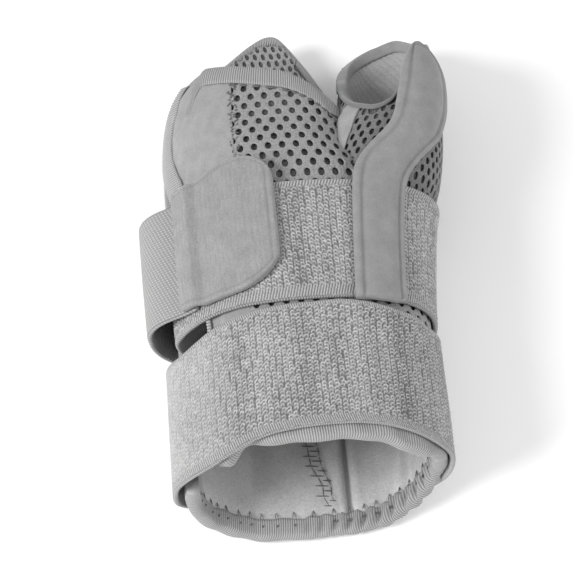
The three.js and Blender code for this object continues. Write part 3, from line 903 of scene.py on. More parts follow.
class BraceLining(bpy.types.Operator):
    """Makes the brushed lining of hand and thumb"""

    bl_idname = "brace.lining"
    bl_label = "Lining"

    def execute(self, context):
        cloth = lining_finish("lining", 1)
        place = hand_wall_place(
            front_tuck, back_tuck, lambda pinch: lerp(0.45, 0.1, pinch), True, True, lining_relief
        )
        palm = grid_cloth(*PALM_GRID, place, outside_thumb(-0.4), weld=False)
        sheet_piece("palm_lining", palm, hand_section, cloth, "lining", LINING_CLOTH, "lining", offset=1)
        # The thumb's lining is a darker copy of the lining: painted shade inside the thumb.
        cloth = lining_finish("thumb lining", 0.72)
        sleeve = grid_cloth(*SLEEVE_GRID, sleeve_place(0.1, 0.35, 0.2), outside_hand(0.6))
        sheet_piece("thumb_lining", sleeve, thumb_section, cloth, "lining", LINING_CLOTH, offset=1)
        return {"FINISHED"}


def sleeve_place(out, hem_out, ribbed=0.0):
    """Places of the thumb's sleeve; ribbed is the height of its slanted ribs, which are also tinted darker in their
    grooves: painted shade.
    """

    def place(s, t):
        angle = 180 - 360 * s
        y = lerp(SLEEVE_FROM * LENGTH, thumb_edge(angle) - TUCK, t)
        pinch = hem_pinch(thumb_edge(angle) - y)
        u = np.radians(angle) * THUMB_HALF_WIDTH
        rib = ribs(u + 0.8 * y + 0.6 * waves(u, y, 15, 16), 3.2)
        points = thumb_point(angle, y, lerp(hem_out, out, pinch) + ribbed * rib)
        # Painted shade: the ribs are tinted darker where they sink away from the hollow.
        return points, np.stack([u, y], -1), 0.57 - 0.4 * ribbed * rib

    return place


# Outer panels
def panel_swell(angle, y, pinch):
    height = 0.28 * waves(angle * 0.6, y, 26, 1) + 0.12 * waves(angle, y, 9, 2)
    return height * pinch, 0.5 + 0 * y


PATCH_FROM, PATCH_TO = 110.0, 132.0


def patch_place(s, t):
    """The small patch on the thumb's flank, over the valley between it and the hand."""
    angle = lerp(lerp(141, 162, t), lerp(129, 119, t), s)
    y = lerp(PATCH_FROM, np.minimum(PATCH_TO, thumb_edge(angle) - 1.3), t)
    swell = 0.4 + 0.5 * np.sin(np.pi * np.clip(s, 0, 1)) ** 0.7 + 0.15 * waves(s * 6, y, 7, 17)
    out = PANEL_OUT + lerp(swell, -0.25, smoothstep(t, 0.8, 0.97))
    return thumb_point(angle, y, out), np.stack([angle, y], -1), 0.5 + 0.04 * waves(s * 6, y, 9, 17)


class BraceSmoothPanel(bpy.types.Operator):
    """Makes the smooth brushed panel at the front's open side, and the small patch at the thumb"""

    bl_idname = "brace.smooth_panel"
    bl_label = "Smooth Panel"

    def execute(self, context):
        cloth = brushed_finish("brushed panel", colours().brushed, grain=1.8, contrast=0.13, swell=0.2)
        place = hand_wall_place(front_tuck, fixed(SMOOTH_TO_MESH - 0.4), panel_top, True, False, panel_swell)
        mesh = grid_cloth(*PANEL_GRID, place, outside_thumb(-1), weld=False)
        sheet_piece("smooth_panel", mesh, hand_section, cloth, "brushed_panel", PANEL_CLOTH, "front_smooth_panel")
        mesh = grid_cloth(*PATCH_GRID, patch_place, weld=False)
        sheet_piece("thumb_patch", mesh, thumb_section, cloth, "brushed_panel", PATCH_CLOTH, "web_patch")
        return {"FINISHED"}


NET_TUCK = 3.2  # from an edge to the middle of the net's last hole
LIP = 1.32  # size of the raised lip round a hole, as a share of the hole's
LIP_UP = 0.16
LEVEL_STEP = 2.0  # between two sections that a net is laid out over
NET_WIDTH = 150  # more than the way round any section
NET_LOW, NET_HIGH = -4.0, 188.0
THUMB_NET_HIGH = 172.0
FAR_NET_LOW = 96.0
CLEAR = -1.2  # depth in the other hollow under which a net goes on
SPACER_OUT = PANEL_IN + 0.45


def net_mesh(width, rows_from, rows_to, place, keep, lip=0.0, finer=(1.0, 1.0)):
    """A sheet of six-sided holes on a flat field, bent to place(u, v, lift). u goes from 0 to width, v along Y."""
    pitch, row_step = mm(sizes().hole_pitch) * finer[0], mm(sizes().hole_row) * finer[1]
    across, along = mm(sizes().hole_across) * finer[0], mm(sizes().hole_along) * finer[1]
    bm = bmesh.new()
    count = int((rows_to - rows_from) / row_step)
    scale = Matrix.Diagonal((pitch / math.sqrt(3), row_step / 1.5, 1, 1))
    for row in range(count + 1):
        v = rows_from + row * row_step
        for column in range(int(width / pitch) + 1):
            u = (column + 0.5 * (row % 2)) * pitch
            if keep(u, v):
                place_here = Matrix.Translation((u, v, 0)) @ scale
                bmesh.ops.create_circle(bm, cap_ends=True, segments=6, radius=1, matrix=place_here)
    bmesh.ops.remove_doubles(bm, verts=bm.verts[:], dist=0.05)
    faces = bm.faces[:]

    def ring(size, lift):
        bmesh.ops.inset_individual(bm, faces=faces, thickness=0.2)
        for face in faces:
            centre = face.calc_center_median()
            for vert in face.verts:
                way = vert.co - centre
                way = Vector((way.x / scale[0][0], way.y / scale[1][1], 0)).normalized()
                vert.co = Vector((centre.x + way.x * across * size, centre.y + way.y * along * size, lift))

    if lip:
        ring(LIP, lip)
    ring(1.0, -lip)
    bmesh.ops.delete(bm, geom=faces, context="FACES_ONLY")
    mesh = finished(bm)
    move_to(mesh, place(*places_of(mesh).T))
    return mesh


def net_piece(name, mesh, section, *nodes, cloth="air mesh"):
    piece = sheet_piece(name, mesh, section, finish_named(cloth), "air_mesh", NET_CLOTH, *nodes)
    round_off = piece.modifiers.new("Round", "SUBSURF")
    round_off.levels = round_off.render_levels = 1


def unrolled(section, start, stop, y_low, y_high):
    """Turns u mm round a section from the start angle, at y, into an angle and the section's whole run."""
    angles = np.linspace(start, stop, 240)
    levels = np.arange(y_low, y_high + LEVEL_STEP, LEVEL_STEP)
    tables = []
    for y in levels:
        steps = np.linalg.norm(np.diff(section(angles, np.full_like(angles, y), PANEL_OUT), axis=0), axis=1)
        tables.append(np.concatenate([[0], np.cumsum(steps)]))

    def angle_of(u, v):
        u, v = np.atleast_1d(u).astype(float), np.atleast_1d(v).astype(float)
        k = np.clip((v - y_low) / LEVEL_STEP, 0, len(levels) - 1.001)
        low = np.floor(k).astype(int)
        share = k - low
        angle = np.empty(len(u))
        for level in np.unique(low):
            at = low == level
            here = np.interp(u[at], tables[level], angles)
            above = np.interp(u[at], tables[level + 1], angles)
            angle[at] = lerp(here, above, share[at])
        return angle, np.array([tables[j][-1] for j in low])

    return angle_of


class BraceAirMesh(bpy.types.Operator):
    """Makes the air mesh of palm, back and thumb: a net with holes over a dark spacer"""

    bl_idname = "brace.air_mesh"
    bl_label = "Air Mesh"

    def execute(self, context):
        net_finish("air mesh", colours().mesh, 0.26)
        # The thumb's net is a darker copy of the air mesh: painted shade inside the thumb and its crease.
        net_finish("thumb mesh", [share * 0.6 for share in colours().mesh], 0.26)
        self.spacer_cloth = net_finish("spacer", colours().spacer, 0.45)
        self.hand_net("palm_net", SMOOTH_TO_MESH, MESH_TO_BACK, LIP_UP, "front_mesh_panel")
        self.hand_net("back_net", MESH_TO_BACK, BACK_EDGE, 0.0, "back_panel")
        self.thumb_net()
        self.far_inner_net()
        spans = (("palm_spacer", SMOOTH_TO_MESH, fixed(MESH_TO_BACK)), ("back_spacer", MESH_TO_BACK, back_tuck))
        for name, start, end in spans:
            at_back = end is back_tuck
            place = hand_wall_place(fixed(start), end, lambda pinch: SPACER_OUT + 0 * pinch, bound_back=at_back)
            self.spacer(name, grid_cloth(*SPACER_GRID, place, outside_thumb(-1.6), weld=False), hand_section)
        mesh = grid_cloth(*THUMB_SPACER_GRID, sleeve_place(SPACER_OUT, SPACER_OUT), outside_hand(-1.6))
        self.spacer("thumb_spacer", mesh, thumb_section)
        return {"FINISHED"}

    def spacer(self, name, mesh, section, thickness=SPACER_CLOTH):
        sheet_piece(name, mesh, section, self.spacer_cloth, "air_mesh", thickness)

    def hand_net(self, name, start, stop, lip, node):
        angle_of = unrolled(hand_point, start, stop, NET_LOW, NET_HIGH)
        at_back = stop == BACK_EDGE

        def place(u, v, lift):
            angle, _ = angle_of(u, v)
            edge = np.minimum(v - forearm_edge(angle), finger_edge(angle) - v)
            if at_back:
                edge = np.minimum(edge, from_back_edge(angle, v / LENGTH))
            pinch = hem_pinch(edge)
            swell, _ = panel_swell(angle, v, pinch)
            return hand_point(angle, v, panel_top(pinch) + swell + lift)

        def keep(u, v):
            angle, run = angle_of(u, v)
            if u > run[0] + 1.0:
                return False
            inside = forearm_edge(angle) + NET_TUCK < v < finger_edge(angle) - NET_TUCK
            if at_back:
                inside = inside and angle > OPEN_SIDE["back"](v / LENGTH) + turn_of(NET_TUCK)
            point = hand_point(angle, np.array([v]), PANEL_OUT)
            return bool(inside and depth_in_thumb(point)[0] < CLEAR)

        net_piece(name, net_mesh(NET_WIDTH, NET_LOW + 3, NET_HIGH, place, keep, lip), hand_section, node)

    def thumb_net(self):
        low = SLEEVE_FROM * LENGTH
        angle_of = unrolled(thumb_point, 180, -180, low, THUMB_NET_HIGH)

        def place(u, v, lift):
            angle, _ = angle_of(u, v)
            pinch = hem_pinch(thumb_edge(angle) - v)
            return thumb_point(angle, v, panel_top(pinch) + lift)

        def keep(u, v):
            angle, run = angle_of(u, v)
            if u > run[0] or v > thumb_edge(angle) - NET_TUCK + 0.4:
                return False
            point = thumb_point(angle, np.array([v]), PANEL_OUT)
            return bool(depth_in_hand(point)[0] < CLEAR)

        mesh = net_mesh(NET_WIDTH, low, THUMB_NET_HIGH, place, keep, LIP_UP, finer=(0.74, 0.76))
        net_piece("thumb_net", mesh, thumb_section, "thumb_sleeve", cloth="thumb mesh")

    def far_inner_net(self):
        """The far wall's net, which shows on its inner face towards the fingers."""
        low = FAR_NET_LOW + 2
        start = MESH_TO_BACK + 4
        angle_of = unrolled(hand_point, start, BACK_EDGE, FAR_NET_LOW, NET_HIGH)

        def place(u, v, lift):
            angle, _ = angle_of(u, v)
            return hand_point(angle, v, lift - 0.5)

        def keep(u, v):
            angle, run = angle_of(u, v)
            point = hand_point(angle, np.array([v]), 0.0)
            at_side = angle > OPEN_SIDE["back"](v / LENGTH) + turn_of(BINDING_WIDTH)
            clear = v < finger_edge(angle) - 3.6 and u < run[0]
            return bool(clear and at_side and depth_in_thumb(point)[0] < CLEAR)

        mesh = net_mesh(NET_WIDTH, low, NET_HIGH, place, keep, lip=0.1, finer=(0.76, 0.6))
        net_piece("far_inner_net", mesh, hand_section)

        def behind(s, t):
            angle = lerp(start, BACK_EDGE + turn_of(BINDING_WIDTH), s)
            y = lerp(low, finger_edge(angle) - 2.0, t)
            return hand_point(angle, y, 0 * y - 0.3), np.stack([angle, y], -1), 0.5 + 0 * y

        mesh = grid_cloth(*FAR_SPACER_GRID, behind, outside_thumb(CLEAR), weld=False)
        self.spacer("far_inner_spacer", mesh, hand_section, FAR_SPACER_CLOTH)


# Bindings
LEG = 0.5  # thickness of a binding's folded tape
FOLD = 1.0  # depth of its rounded fold
TAPE_CROWN = 0.2  # how far its legs swell
COLUMNS_PER_RIB = 5


def tape_profile(inner, outer):
    """The way round a folded tape's section, closed. For each point: the distance in from the fold, the distance
    out, the share of the ribs that shows, and whether it lies in the slot between the legs."""
    width = BINDING_WIDTH
    middle, half = (inner + outer) / 2, (outer - inner) / 2
    leg = [(d, TAPE_CROWN * math.sin(math.pi * min(1, d / width))) for d in np.linspace(width, FOLD, 7)]
    points = [(d, outer + crown, 1, 0) for d, crown in leg]
    for turn in np.radians(np.linspace(90, 270, 9)[1:-1]):
        points.append((FOLD * (1 + math.cos(turn)), middle + half * math.sin(turn), 1, 0))
    points += [(d, inner - crown, 1, 0) for d, crown in reversed(leg)]
    points.append((width + 0.05, inner + LEG, 0, 0))
    points += [(1.6, inner + LEG, 0, 1), (0.9, middle, 0, 1), (1.6, outer - LEG, 0, 1)]
    points += [(width + 0.05, outer - LEG, 0, 0), points[0]]
    return np.array(points)


def binding(name, place_at, node, width=None, outer=BINDING_OUT, pucker=None, cloth="tape", coarse=1.0):
    """A folded tape along an edge, closed at its ends. place_at(s, inward, out) gives its points, width(s, u) how
    wide it is, and pucker(s, u, inward) how far it stands up in folds."""
    inner = -BINDING_PROUD
    run, share = even_shares(lambda s: place_at(s, 0 * s + 2, 0 * s + outer))
    count = max(1, round(run / mm(sizes().rib_pitch) / coarse))
    profile = tape_profile(inner, outer)
    last = len(profile) - 1
    ribbed = 1.0 if cloth == "tape" else 0.0

    def place(s, around):
        inward, out, shown, slot = profile[row_at(around, last)].T
        along, u = share(s), s * run
        wide = width(along, u) if width else BINDING_WIDTH + 0 * s
        inward = np.where(inward > FOLD, FOLD + (inward - FOLD) * (wide - FOLD) / (BINDING_WIDTH - FOLD), inward)
        closed = 1 - smoothstep(np.minimum(u, run - u), 0.6, 1.1)
        inward = lerp(inward, wide + 0.05, slot * closed)
        rib = ribs(s * count + 0.1 * inward, 1.0)
        lift = (rib - 0.5) * mm(sizes().rib_height) * coarse * shown * ribbed
        sign = np.where(out > (inner + outer) / 2, 1, -1)
        extra = pucker(along, u, inward) * shown if pucker else 0
        points = place_at(along, inward, out + sign * (lift + extra))
        # Ribbed tape: painted shade between the ribs and in the hidden slot, painted highlight on the ribs' tops.
        # Plain tape is tinted darker where it is narrower.
        nap = lerp(0.35, rib, shown) if ribbed else 0.5 - 0.08 * (BINDING_WIDTH - wide)
        return points, np.stack([u, inward], -1), nap

    mesh = grid_cloth(count * (COLUMNS_PER_RIB if ribbed else 1), last, place, capped=True)
    new_piece(name, mesh, finish_named(cloth), "binding", node)


def hand_edge_path(start, stop, edge, inward_sign):
    def place_at(s, inward, out):
        angle = lerp(start, stop, s)
        return hand_point(angle, edge(angle) + inward_sign * inward, out)

    return place_at


def side_path(edge, turn, low, high):
    def place_at(s, inward, out):
        y = lerp(low, high, s)
        angle = edge(y / LENGTH) + turn * turn_of(inward)
        return hand_point(angle, y, out)

    return place_at


RIM_END = -190
GATHER = 4.9  # distance between the rim's gathers
NEAR_HEM = (142, 36)
FAR_HEM = (-12, -173)
FRONT_TAPE_ENDS = (137, 130)  # the angles whose wall ends its own ends lie between
HEM = BINDING_WIDTH + 0.3


def rim_edge(angle):
    """The wrist's edge as its tape runs, a little wavy."""
    return forearm_edge(np.maximum(angle, -180)) + 0.3 * waves(angle * 0.62, 0 * angle, 12, 4)


def gathered(s):
    """How much the rim is gathered: only where it turns towards the thumb's side."""
    return smoothstep(s, 0.42, 0.5) * (1 - smoothstep(s, 0.66, 0.74))


def gathers(s, u, inward):
    """How far the rim's tape stands up in folds, between its legs' edges."""
    across = 0.35 + 0.65 * np.sin(np.pi * np.clip(inward / BINDING_WIDTH, 0, 1))
    folds = 0.95 * gathered(s) * np.sin(2 * np.pi * (u + 0.5 * inward) / GATHER + 0.9 * np.sin(u / 7))
    return (folds + 0.2 * waves(u, inward, 9, 11)) * across


def rim_width(s, u):
    return 6.0 + 0.7 * gathered(s) * np.sin(2 * np.pi * u / GATHER + 0.9) + 0.25 * waves(u, 0 * u, 8, 12)


def near_hem(s, inward, out):
    """Along the near edge of the fingers' opening, turned down into the side tape at its start."""
    angle = lerp(*NEAR_HEM, s)
    turned = 20 * smoothstep(angle, 127, 145) ** 1.5
    return hand_point(angle, finger_edge(angle) - turned - inward, out - 0.04 * turned)


def thumb_path(s, inward, out):
    angle = 180 - 360 * s
    return thumb_point(angle, thumb_edge(angle) - inward, out)


def thumb_width(s, u):
    angle = 180 - 360 * s
    return BINDING_WIDTH - 3.0 * smoothstep(angle, 20, 60) * (1 - smoothstep(angle, 165, 180))


class BraceBindings(bpy.types.Operator):
    """Makes the folded ribbed tapes round every edge"""

    bl_idname = "brace.bindings"
    bl_label = "Bindings"

    def execute(self, context):
        tape_finish("tape", colours().tape)
        brushed_finish("thumb tape", colours().cover, grain=1.8, contrast=0.12, swell=0.3)
        path = hand_edge_path(float(OPEN_SIDE["front"](0)), RIM_END, rim_edge, 1)
        binding("wrist_tape", path, "wrist_binding", rim_width, pucker=gathers)
        binding(
            "hand_tape",
            near_hem,
            "hand_binding",
            lambda s, u: 8.6 - 2.6 * smoothstep(s, 0.8, 1),
            BINDING_OUT + 0.2,
            lambda s, u, inward: 0.15 * waves(u, inward, 10, 13),
        )
        path = hand_edge_path(*FAR_HEM, finger_edge, -1)
        binding("far_hand_tape", path, "far_hand_binding", lambda s, u: 4.0 + 0 * s)
        low, high = float(forearm_edge(FRONT_TAPE_ENDS[0])) + HEM, float(finger_edge(FRONT_TAPE_ENDS[1])) - HEM

        def side_width(s, u):
            y = lerp(low, high, s)
            return 2.4 + 3.1 * smoothstep(y, 54, 64) + 6.5 * smoothstep(y, 88, 108) * (1 - smoothstep(y, 138, 150))

        path = side_path(OPEN_SIDE["front"], -1, low, high)
        binding("front_side_tape", path, "side_binding_front", side_width, BINDING_OUT + 0.1, coarse=1.45)
        low, high = float(forearm_edge(BACK_EDGE)) + HEM, float(finger_edge(BACK_EDGE)) - HEM
        binding("back_side_tape", side_path(OPEN_SIDE["back"], 1, low, high), "side_binding_back")
        binding("thumb_tape", thumb_path, "thumb_binding", thumb_width, cloth="thumb tape")
        return {"FINISHED"}


# Straps
# Painted shade of the ground between the loops and painted highlight of the loops' tops.
LOOP_PAINTED_SHADES = (0.36, 1.5)  # of the ground between the loops and of their tops
WRIST_TAB_ENDS = (-158, -133)
LOOP_BAND_END = 214
CLOSING_STRAP_END = -223


def wrist_strap_path(s, across, out):
    angle = 180 - 360 * s
    t = across / WRIST_STRAP_WIDTH
    y = wrist_strap_edge(angle) * LENGTH + across + lerp(strap_low_shift(angle), strap_top_shift(angle), t)
    away = np.abs(angle) / 180
    slack = STRAP_SLACK * smoothstep(away, 0.68, 0.95)
    seat = smoothstep(angle, -40, 10) * (1 - smoothstep(angle, 170, 180)) * 0.5
    at_cover = smoothstep(angle, 26, 44) * (1 - smoothstep(angle, 76, 94)) * smoothstep(t, 0.55, 1)
    rise = (OVER_BAND - BAND_IN) * at_cover
    return hand_point(angle, y, BAND_IN + np.maximum(np.maximum(slack, seat), rise) + out)


def loop_relief(depth, fuzz_and_highlight_to):
    """Loops over a strap, softened to a flatter fuzz from its start to the given share, where they are also tinted
    paler: a painted highlight.
    """

    def relief(u, v, run):
        across = run / round(run / mm(sizes().loop_across))
        shown = loop_pile(u, v, across, mm(sizes().loop_along))
        crisp = lerp(0.45, 1.0, smoothstep(u / run, 0.3 * fuzz_and_highlight_to, fuzz_and_highlight_to))
        shade = 0.04 * waves(u, v, 30, 14) + 0.06 * waves(u, 0 * v, 7, 15)
        # The loops' heights also tint them: painted shade between the loops and painted highlight on their tops,
        # plus random streaks of tone.
        return depth * crisp * (shown - 0.6), lerp(0.56, shown, crisp) + shade * crisp

    return relief


class BraceWristStrap(bpy.types.Operator):
    """Makes the wide wrist strap of loop cloth and its tab"""

    bl_idname = "brace.wrist_strap"
    bl_label = "Wrist Strap"

    def execute(self, context):
        cloth = pile_finish("wrist loop cloth", colours().loop, rib=0.66, low=2.6, high=1.2, width=WRIST_STRAP_WIDTH)
        relief = loop_relief(depth=0.42, fuzz_and_highlight_to=0.2)
        mesh = strap_cloth(wrist_strap_path, WRIST_STRAP_WIDTH, WEBBING, relief, pitch=0.37, rows=116, ring=True)
        new_piece("wrist_strap_cloth", mesh, cloth, "loop_webbing", "wrist_strap")

        def tab_path(s, across, out):
            share = (180 - lerp(*WRIST_TAB_ENDS, s)) / 360
            inset = lerp(0.03, 0.97, across / WRIST_STRAP_WIDTH) * WRIST_STRAP_WIDTH
            return wrist_strap_path(share, inset, out + WEBBING + GAP)

        def plain(u, v, run):
            return 0 * u, 0.5 + 0 * u

        mesh = strap_cloth(tab_path, WRIST_STRAP_WIDTH, TAB, plain, pitch=0.8, rows=50)
        new_piece("wrist_tab", mesh, finish_named("hook tab"), "hook_tab", "wrist_strap_tab")
        return {"FINISHED"}


def band_path(start, stop, low, out_of):
    """A strap's path round hand and thumb. across runs up from its low edge."""

    def path(s, across, out):
        angle = lerp(start, stop, s)
        return wrap_point(angle, low(s, angle) + across, out_of(s, angle) + out)

    return path


class BraceLoopBand(bpy.types.Operator):
    """Makes the band of loop cloth round hand and thumb"""

    bl_idname = "brace.loop_band"
    bl_label = "Loop Band"

    def execute(self, context):
        tucked = -BINDING_PROUD - GAP - WEBBING
        path = band_path(
            STRAP_JOINT + turn_of(GAP),
            LOOP_BAND_END,
            lambda s, angle: LOOP_BAND_FROM - 3 * smoothstep(angle, 110, 180),
            lambda s, angle: lerp(BAND_IN, tucked, smoothstep(angle, 161, 188.5)),
        )
        cloth = pile_finish("band loop cloth", colours().loop, rib=0.85, low=3.8, high=2.0, width=LOOP_BAND_WIDTH)
        relief = loop_relief(depth=0.4, fuzz_and_highlight_to=0.01)
        mesh = strap_cloth(path, LOOP_BAND_WIDTH, WEBBING, relief, pitch=0.38, rows=108)
        new_piece("loop_band_cloth", mesh, cloth, "loop_webbing", "loop_band")
        return {"FINISHED"}


class BraceClosingStrap(bpy.types.Operator):
    """Makes the elastic closing strap, which stands off at the open side"""

    bl_idname = "brace.closing_strap"
    bl_label = "Closing Strap"

    def execute(self, context):
        def out_of(s, angle):
            arch = smoothstep(-angle, 140, 185) * (1 - smoothstep(-angle, 185, 218))
            return lerp(BAND_IN, OVER_BAND, smoothstep(-angle, 170, 205)) + CLOSING_SLACK * arch

        start = STRAP_JOINT - turn_of(GAP)
        path = band_path(start, CLOSING_STRAP_END, lambda s, angle: CLOSING_FROM + 0 * s, out_of)

        def relief(u, v, run):
            return 0.05 * ribs(v, 1.3), 0.5 + 0 * u

        cloth = twill_finish("elastic", colours().elastic, pitch=1.15)
        mesh = strap_cloth(path, CLOSING_STRAP_WIDTH, WEBBING, relief, pitch=0.7, rows=70)
        new_piece("closing_strap_cloth", mesh, cloth, "elastic", "closing_strap")
        return {"FINISHED"}


TAB_FROM, TAB_STEPS, TAB_END = 143, 133, 96
TAB_RUN, TAB_ACROSS = 36.0, 44.0  # its length along the strap and its width, for its fine forms
SEWN_IN = 2.0  # how far its sewn line lies inside its edge


def tab_sides(s):
    def corner(share):
        return 1 - np.sqrt(np.maximum(0, 1 - np.maximum(0, (s - 1 + share) / share) ** 2))

    low = CLOSING_FROM - 0.6 + 4.5 * s * s + 10.5 * corner(0.38)
    high = CLOSING_FROM + CLOSING_STRAP_WIDTH + 3.5 + 8 * smoothstep(s, 0, 0.75) - 10.5 * corner(0.25)
    return low, high


def tab_out(s):
    angle = lerp(TAB_FROM, TAB_END, s)
    down = 1 - smoothstep(angle, TAB_STEPS - 3, TAB_STEPS + 2)
    return lerp(OVER_CLOSING, OVER_BAND, down)


def tab_point(s, t, out):
    low, high = tab_sides(s)
    return wrap_point(lerp(TAB_FROM, TAB_END, s), lerp(low, high, t), tab_out(s) + out)


def tab_edge_distance(s, t):
    low, high = tab_sides(s)
    return np.minimum(np.minimum(t, 1 - t) * (high - low), (1 - s) * TAB_RUN)


class BraceHookTab(bpy.types.Operator):
    """Makes the sewn tab that closes the loop band"""

    bl_idname = "brace.hook_tab"
    bl_label = "Hook Tab"

    def execute(self, context):
        cloth = brushed_finish(
            "hook tab", colours().tab, grain=2.0, contrast=0.17, swell=0.18, streak=(2.4, 0.25, 0.25)
        )

        def top(s, t):
            edge = tab_edge_distance(s, t)
            groove = ridge(edge, SEWN_IN, 0.35)
            u, v = s * TAB_RUN, t * TAB_ACROSS
            rib = smoothstep(edge, SEWN_IN, SEWN_IN + 2) * ribs(u + 0.4 * waves(v, 0 * t, 20, 15), 1.65)
            inside = np.clip(edge / 0.9, 0, 1)
            fall = 1 - np.sqrt(inside * (2 - inside))
            swell = 0.12 * waves(u, v, 14, 5)
            out = TAB - 0.26 * groove + 0.03 * rib - 0.75 * TAB * fall + swell * (1 - fall)
            # Painted shade in the sewn groove and painted highlights on the ribs and the rounded edge.
            nap = 0.49 - 0.09 * groove + 0.02 * rib + 0.02 * ridge(edge, 0.6, 0.5)
            return tab_point(s, t, out), np.stack([u, v], -1), nap

        mesh = grid_cloth(*TAB_GRID, top)
        sheet_piece("hook_tab_cloth", mesh, hand_section, cloth, "hook_tab", TAB_CLOTH, "hook_tab")
        return {"FINISHED"}


# Stay cover
def cover_point(s, share, out):
    at = lerp((WRIST_STRAP_WIDTH + GAP) / LENGTH + wrist_strap_edge(60), COVER_TO, share)
    y = at * LENGTH
    tip = np.maximum(0, (share - 1 + COVER_TIP) / COVER_TIP)
    narrows = np.sqrt(1 - COVER_TIP_NARROWS * tip * tip)
    across = lerp(0.38 * (1 - np.sqrt(np.maximum(0, 1 - tip * tip))), narrows, s)
    over = wrap_point(lerp(COVER_SIDES["left"](at), COVER_SIDES["right"](at), across), y, OVER_BAND + out)
    seat = BINDING_OUT + 2 * GAP
    along_angle = lerp(COVER_SIDES["thumb_left"](at), COVER_SIDES["thumb_right"](at), across)
    along = thumb_point(along_angle, y, seat + out)
    return lerp(over, along, smoothstep(at, 0.53, 0.64)[..., None])


COVER_WIDTH = 17.0
COVER_ROLL = 1.9  # from the cover's edge to the groove beside its rolled edge


class BraceStayCover(bpy.types.Operator):
    """Makes the padded cover of the thumb's stay"""

    bl_idname = "brace.stay_cover"
    bl_label = "Stay Cover"

    def execute(self, context):
        cloth = brushed_finish("stay cover", colours().cover, grain=1.7, contrast=0.1, swell=0.22)
        run, even = even_shares(lambda s: cover_point(0 * s + 0.5, s, 0 * s))
        t, beyond, lift, face = rim_profile(60, inner_rows=16, edge_rows=6, bulge=0.6)
        last = len(t) - 1

        def place(along, around):
            k = row_at(around, last)
            share = even(along)
            edge = np.minimum(t[k], 1 - t[k]) * COVER_WIDTH
            end = np.minimum(edge, (1 - along) * run * 1.2)
            groove = ridge(end, COVER_ROLL, 0.75)
            crown = 0.35 * smoothstep(end, COVER_ROLL, COVER_ROLL + 4)
            swell = 0.14 * waves(along * run, t[k] * COVER_WIDTH, 13, 8)
            height = face[k] * (-0.5 * groove + crown + swell * smoothstep(end, 1, 4))
            points = cover_point(t[k] + beyond[k] * COVER / COVER_WIDTH, share, lift[k] * COVER + height)
            # Painted shade in the groove beside the rolled edge and a painted highlight on the roll.
            nap = 0.49 - face[k] * (0.08 * groove - 0.05 * ridge(end, 0.8, 0.6))
            return points, np.stack([along * run, t[k] * COVER_WIDTH], -1), nap

        mesh = grid_cloth(int(run / 0.8), last, place, capped=True)
        piece = new_piece("stay_cover_cloth", mesh, cloth, "stay_cover", "stay_cover")
        return {"FINISHED"}


# Stitches
def stitch(bm, start, end, lift, thickness):
    """A small oval stitch from one place to another, its flat side down."""
    start, end = Vector(start), Vector(end)
    way = end - start
    z = Vector(lift).normalized()
    x = way.normalized()
    y = z.cross(x).normalized()
    place = Matrix((x, y, z)).transposed().to_4x4()
    place.translation = (start + end) / 2
    size = Matrix.Diagonal((way.length / 2, thickness / 2000, thickness / 2500, 1))
    bmesh.ops.create_uvsphere(bm, u_segments=8, v_segments=6, radius=1, matrix=place @ size)


def paired(first, last):
    return np.stack([first, last], -1).ravel()


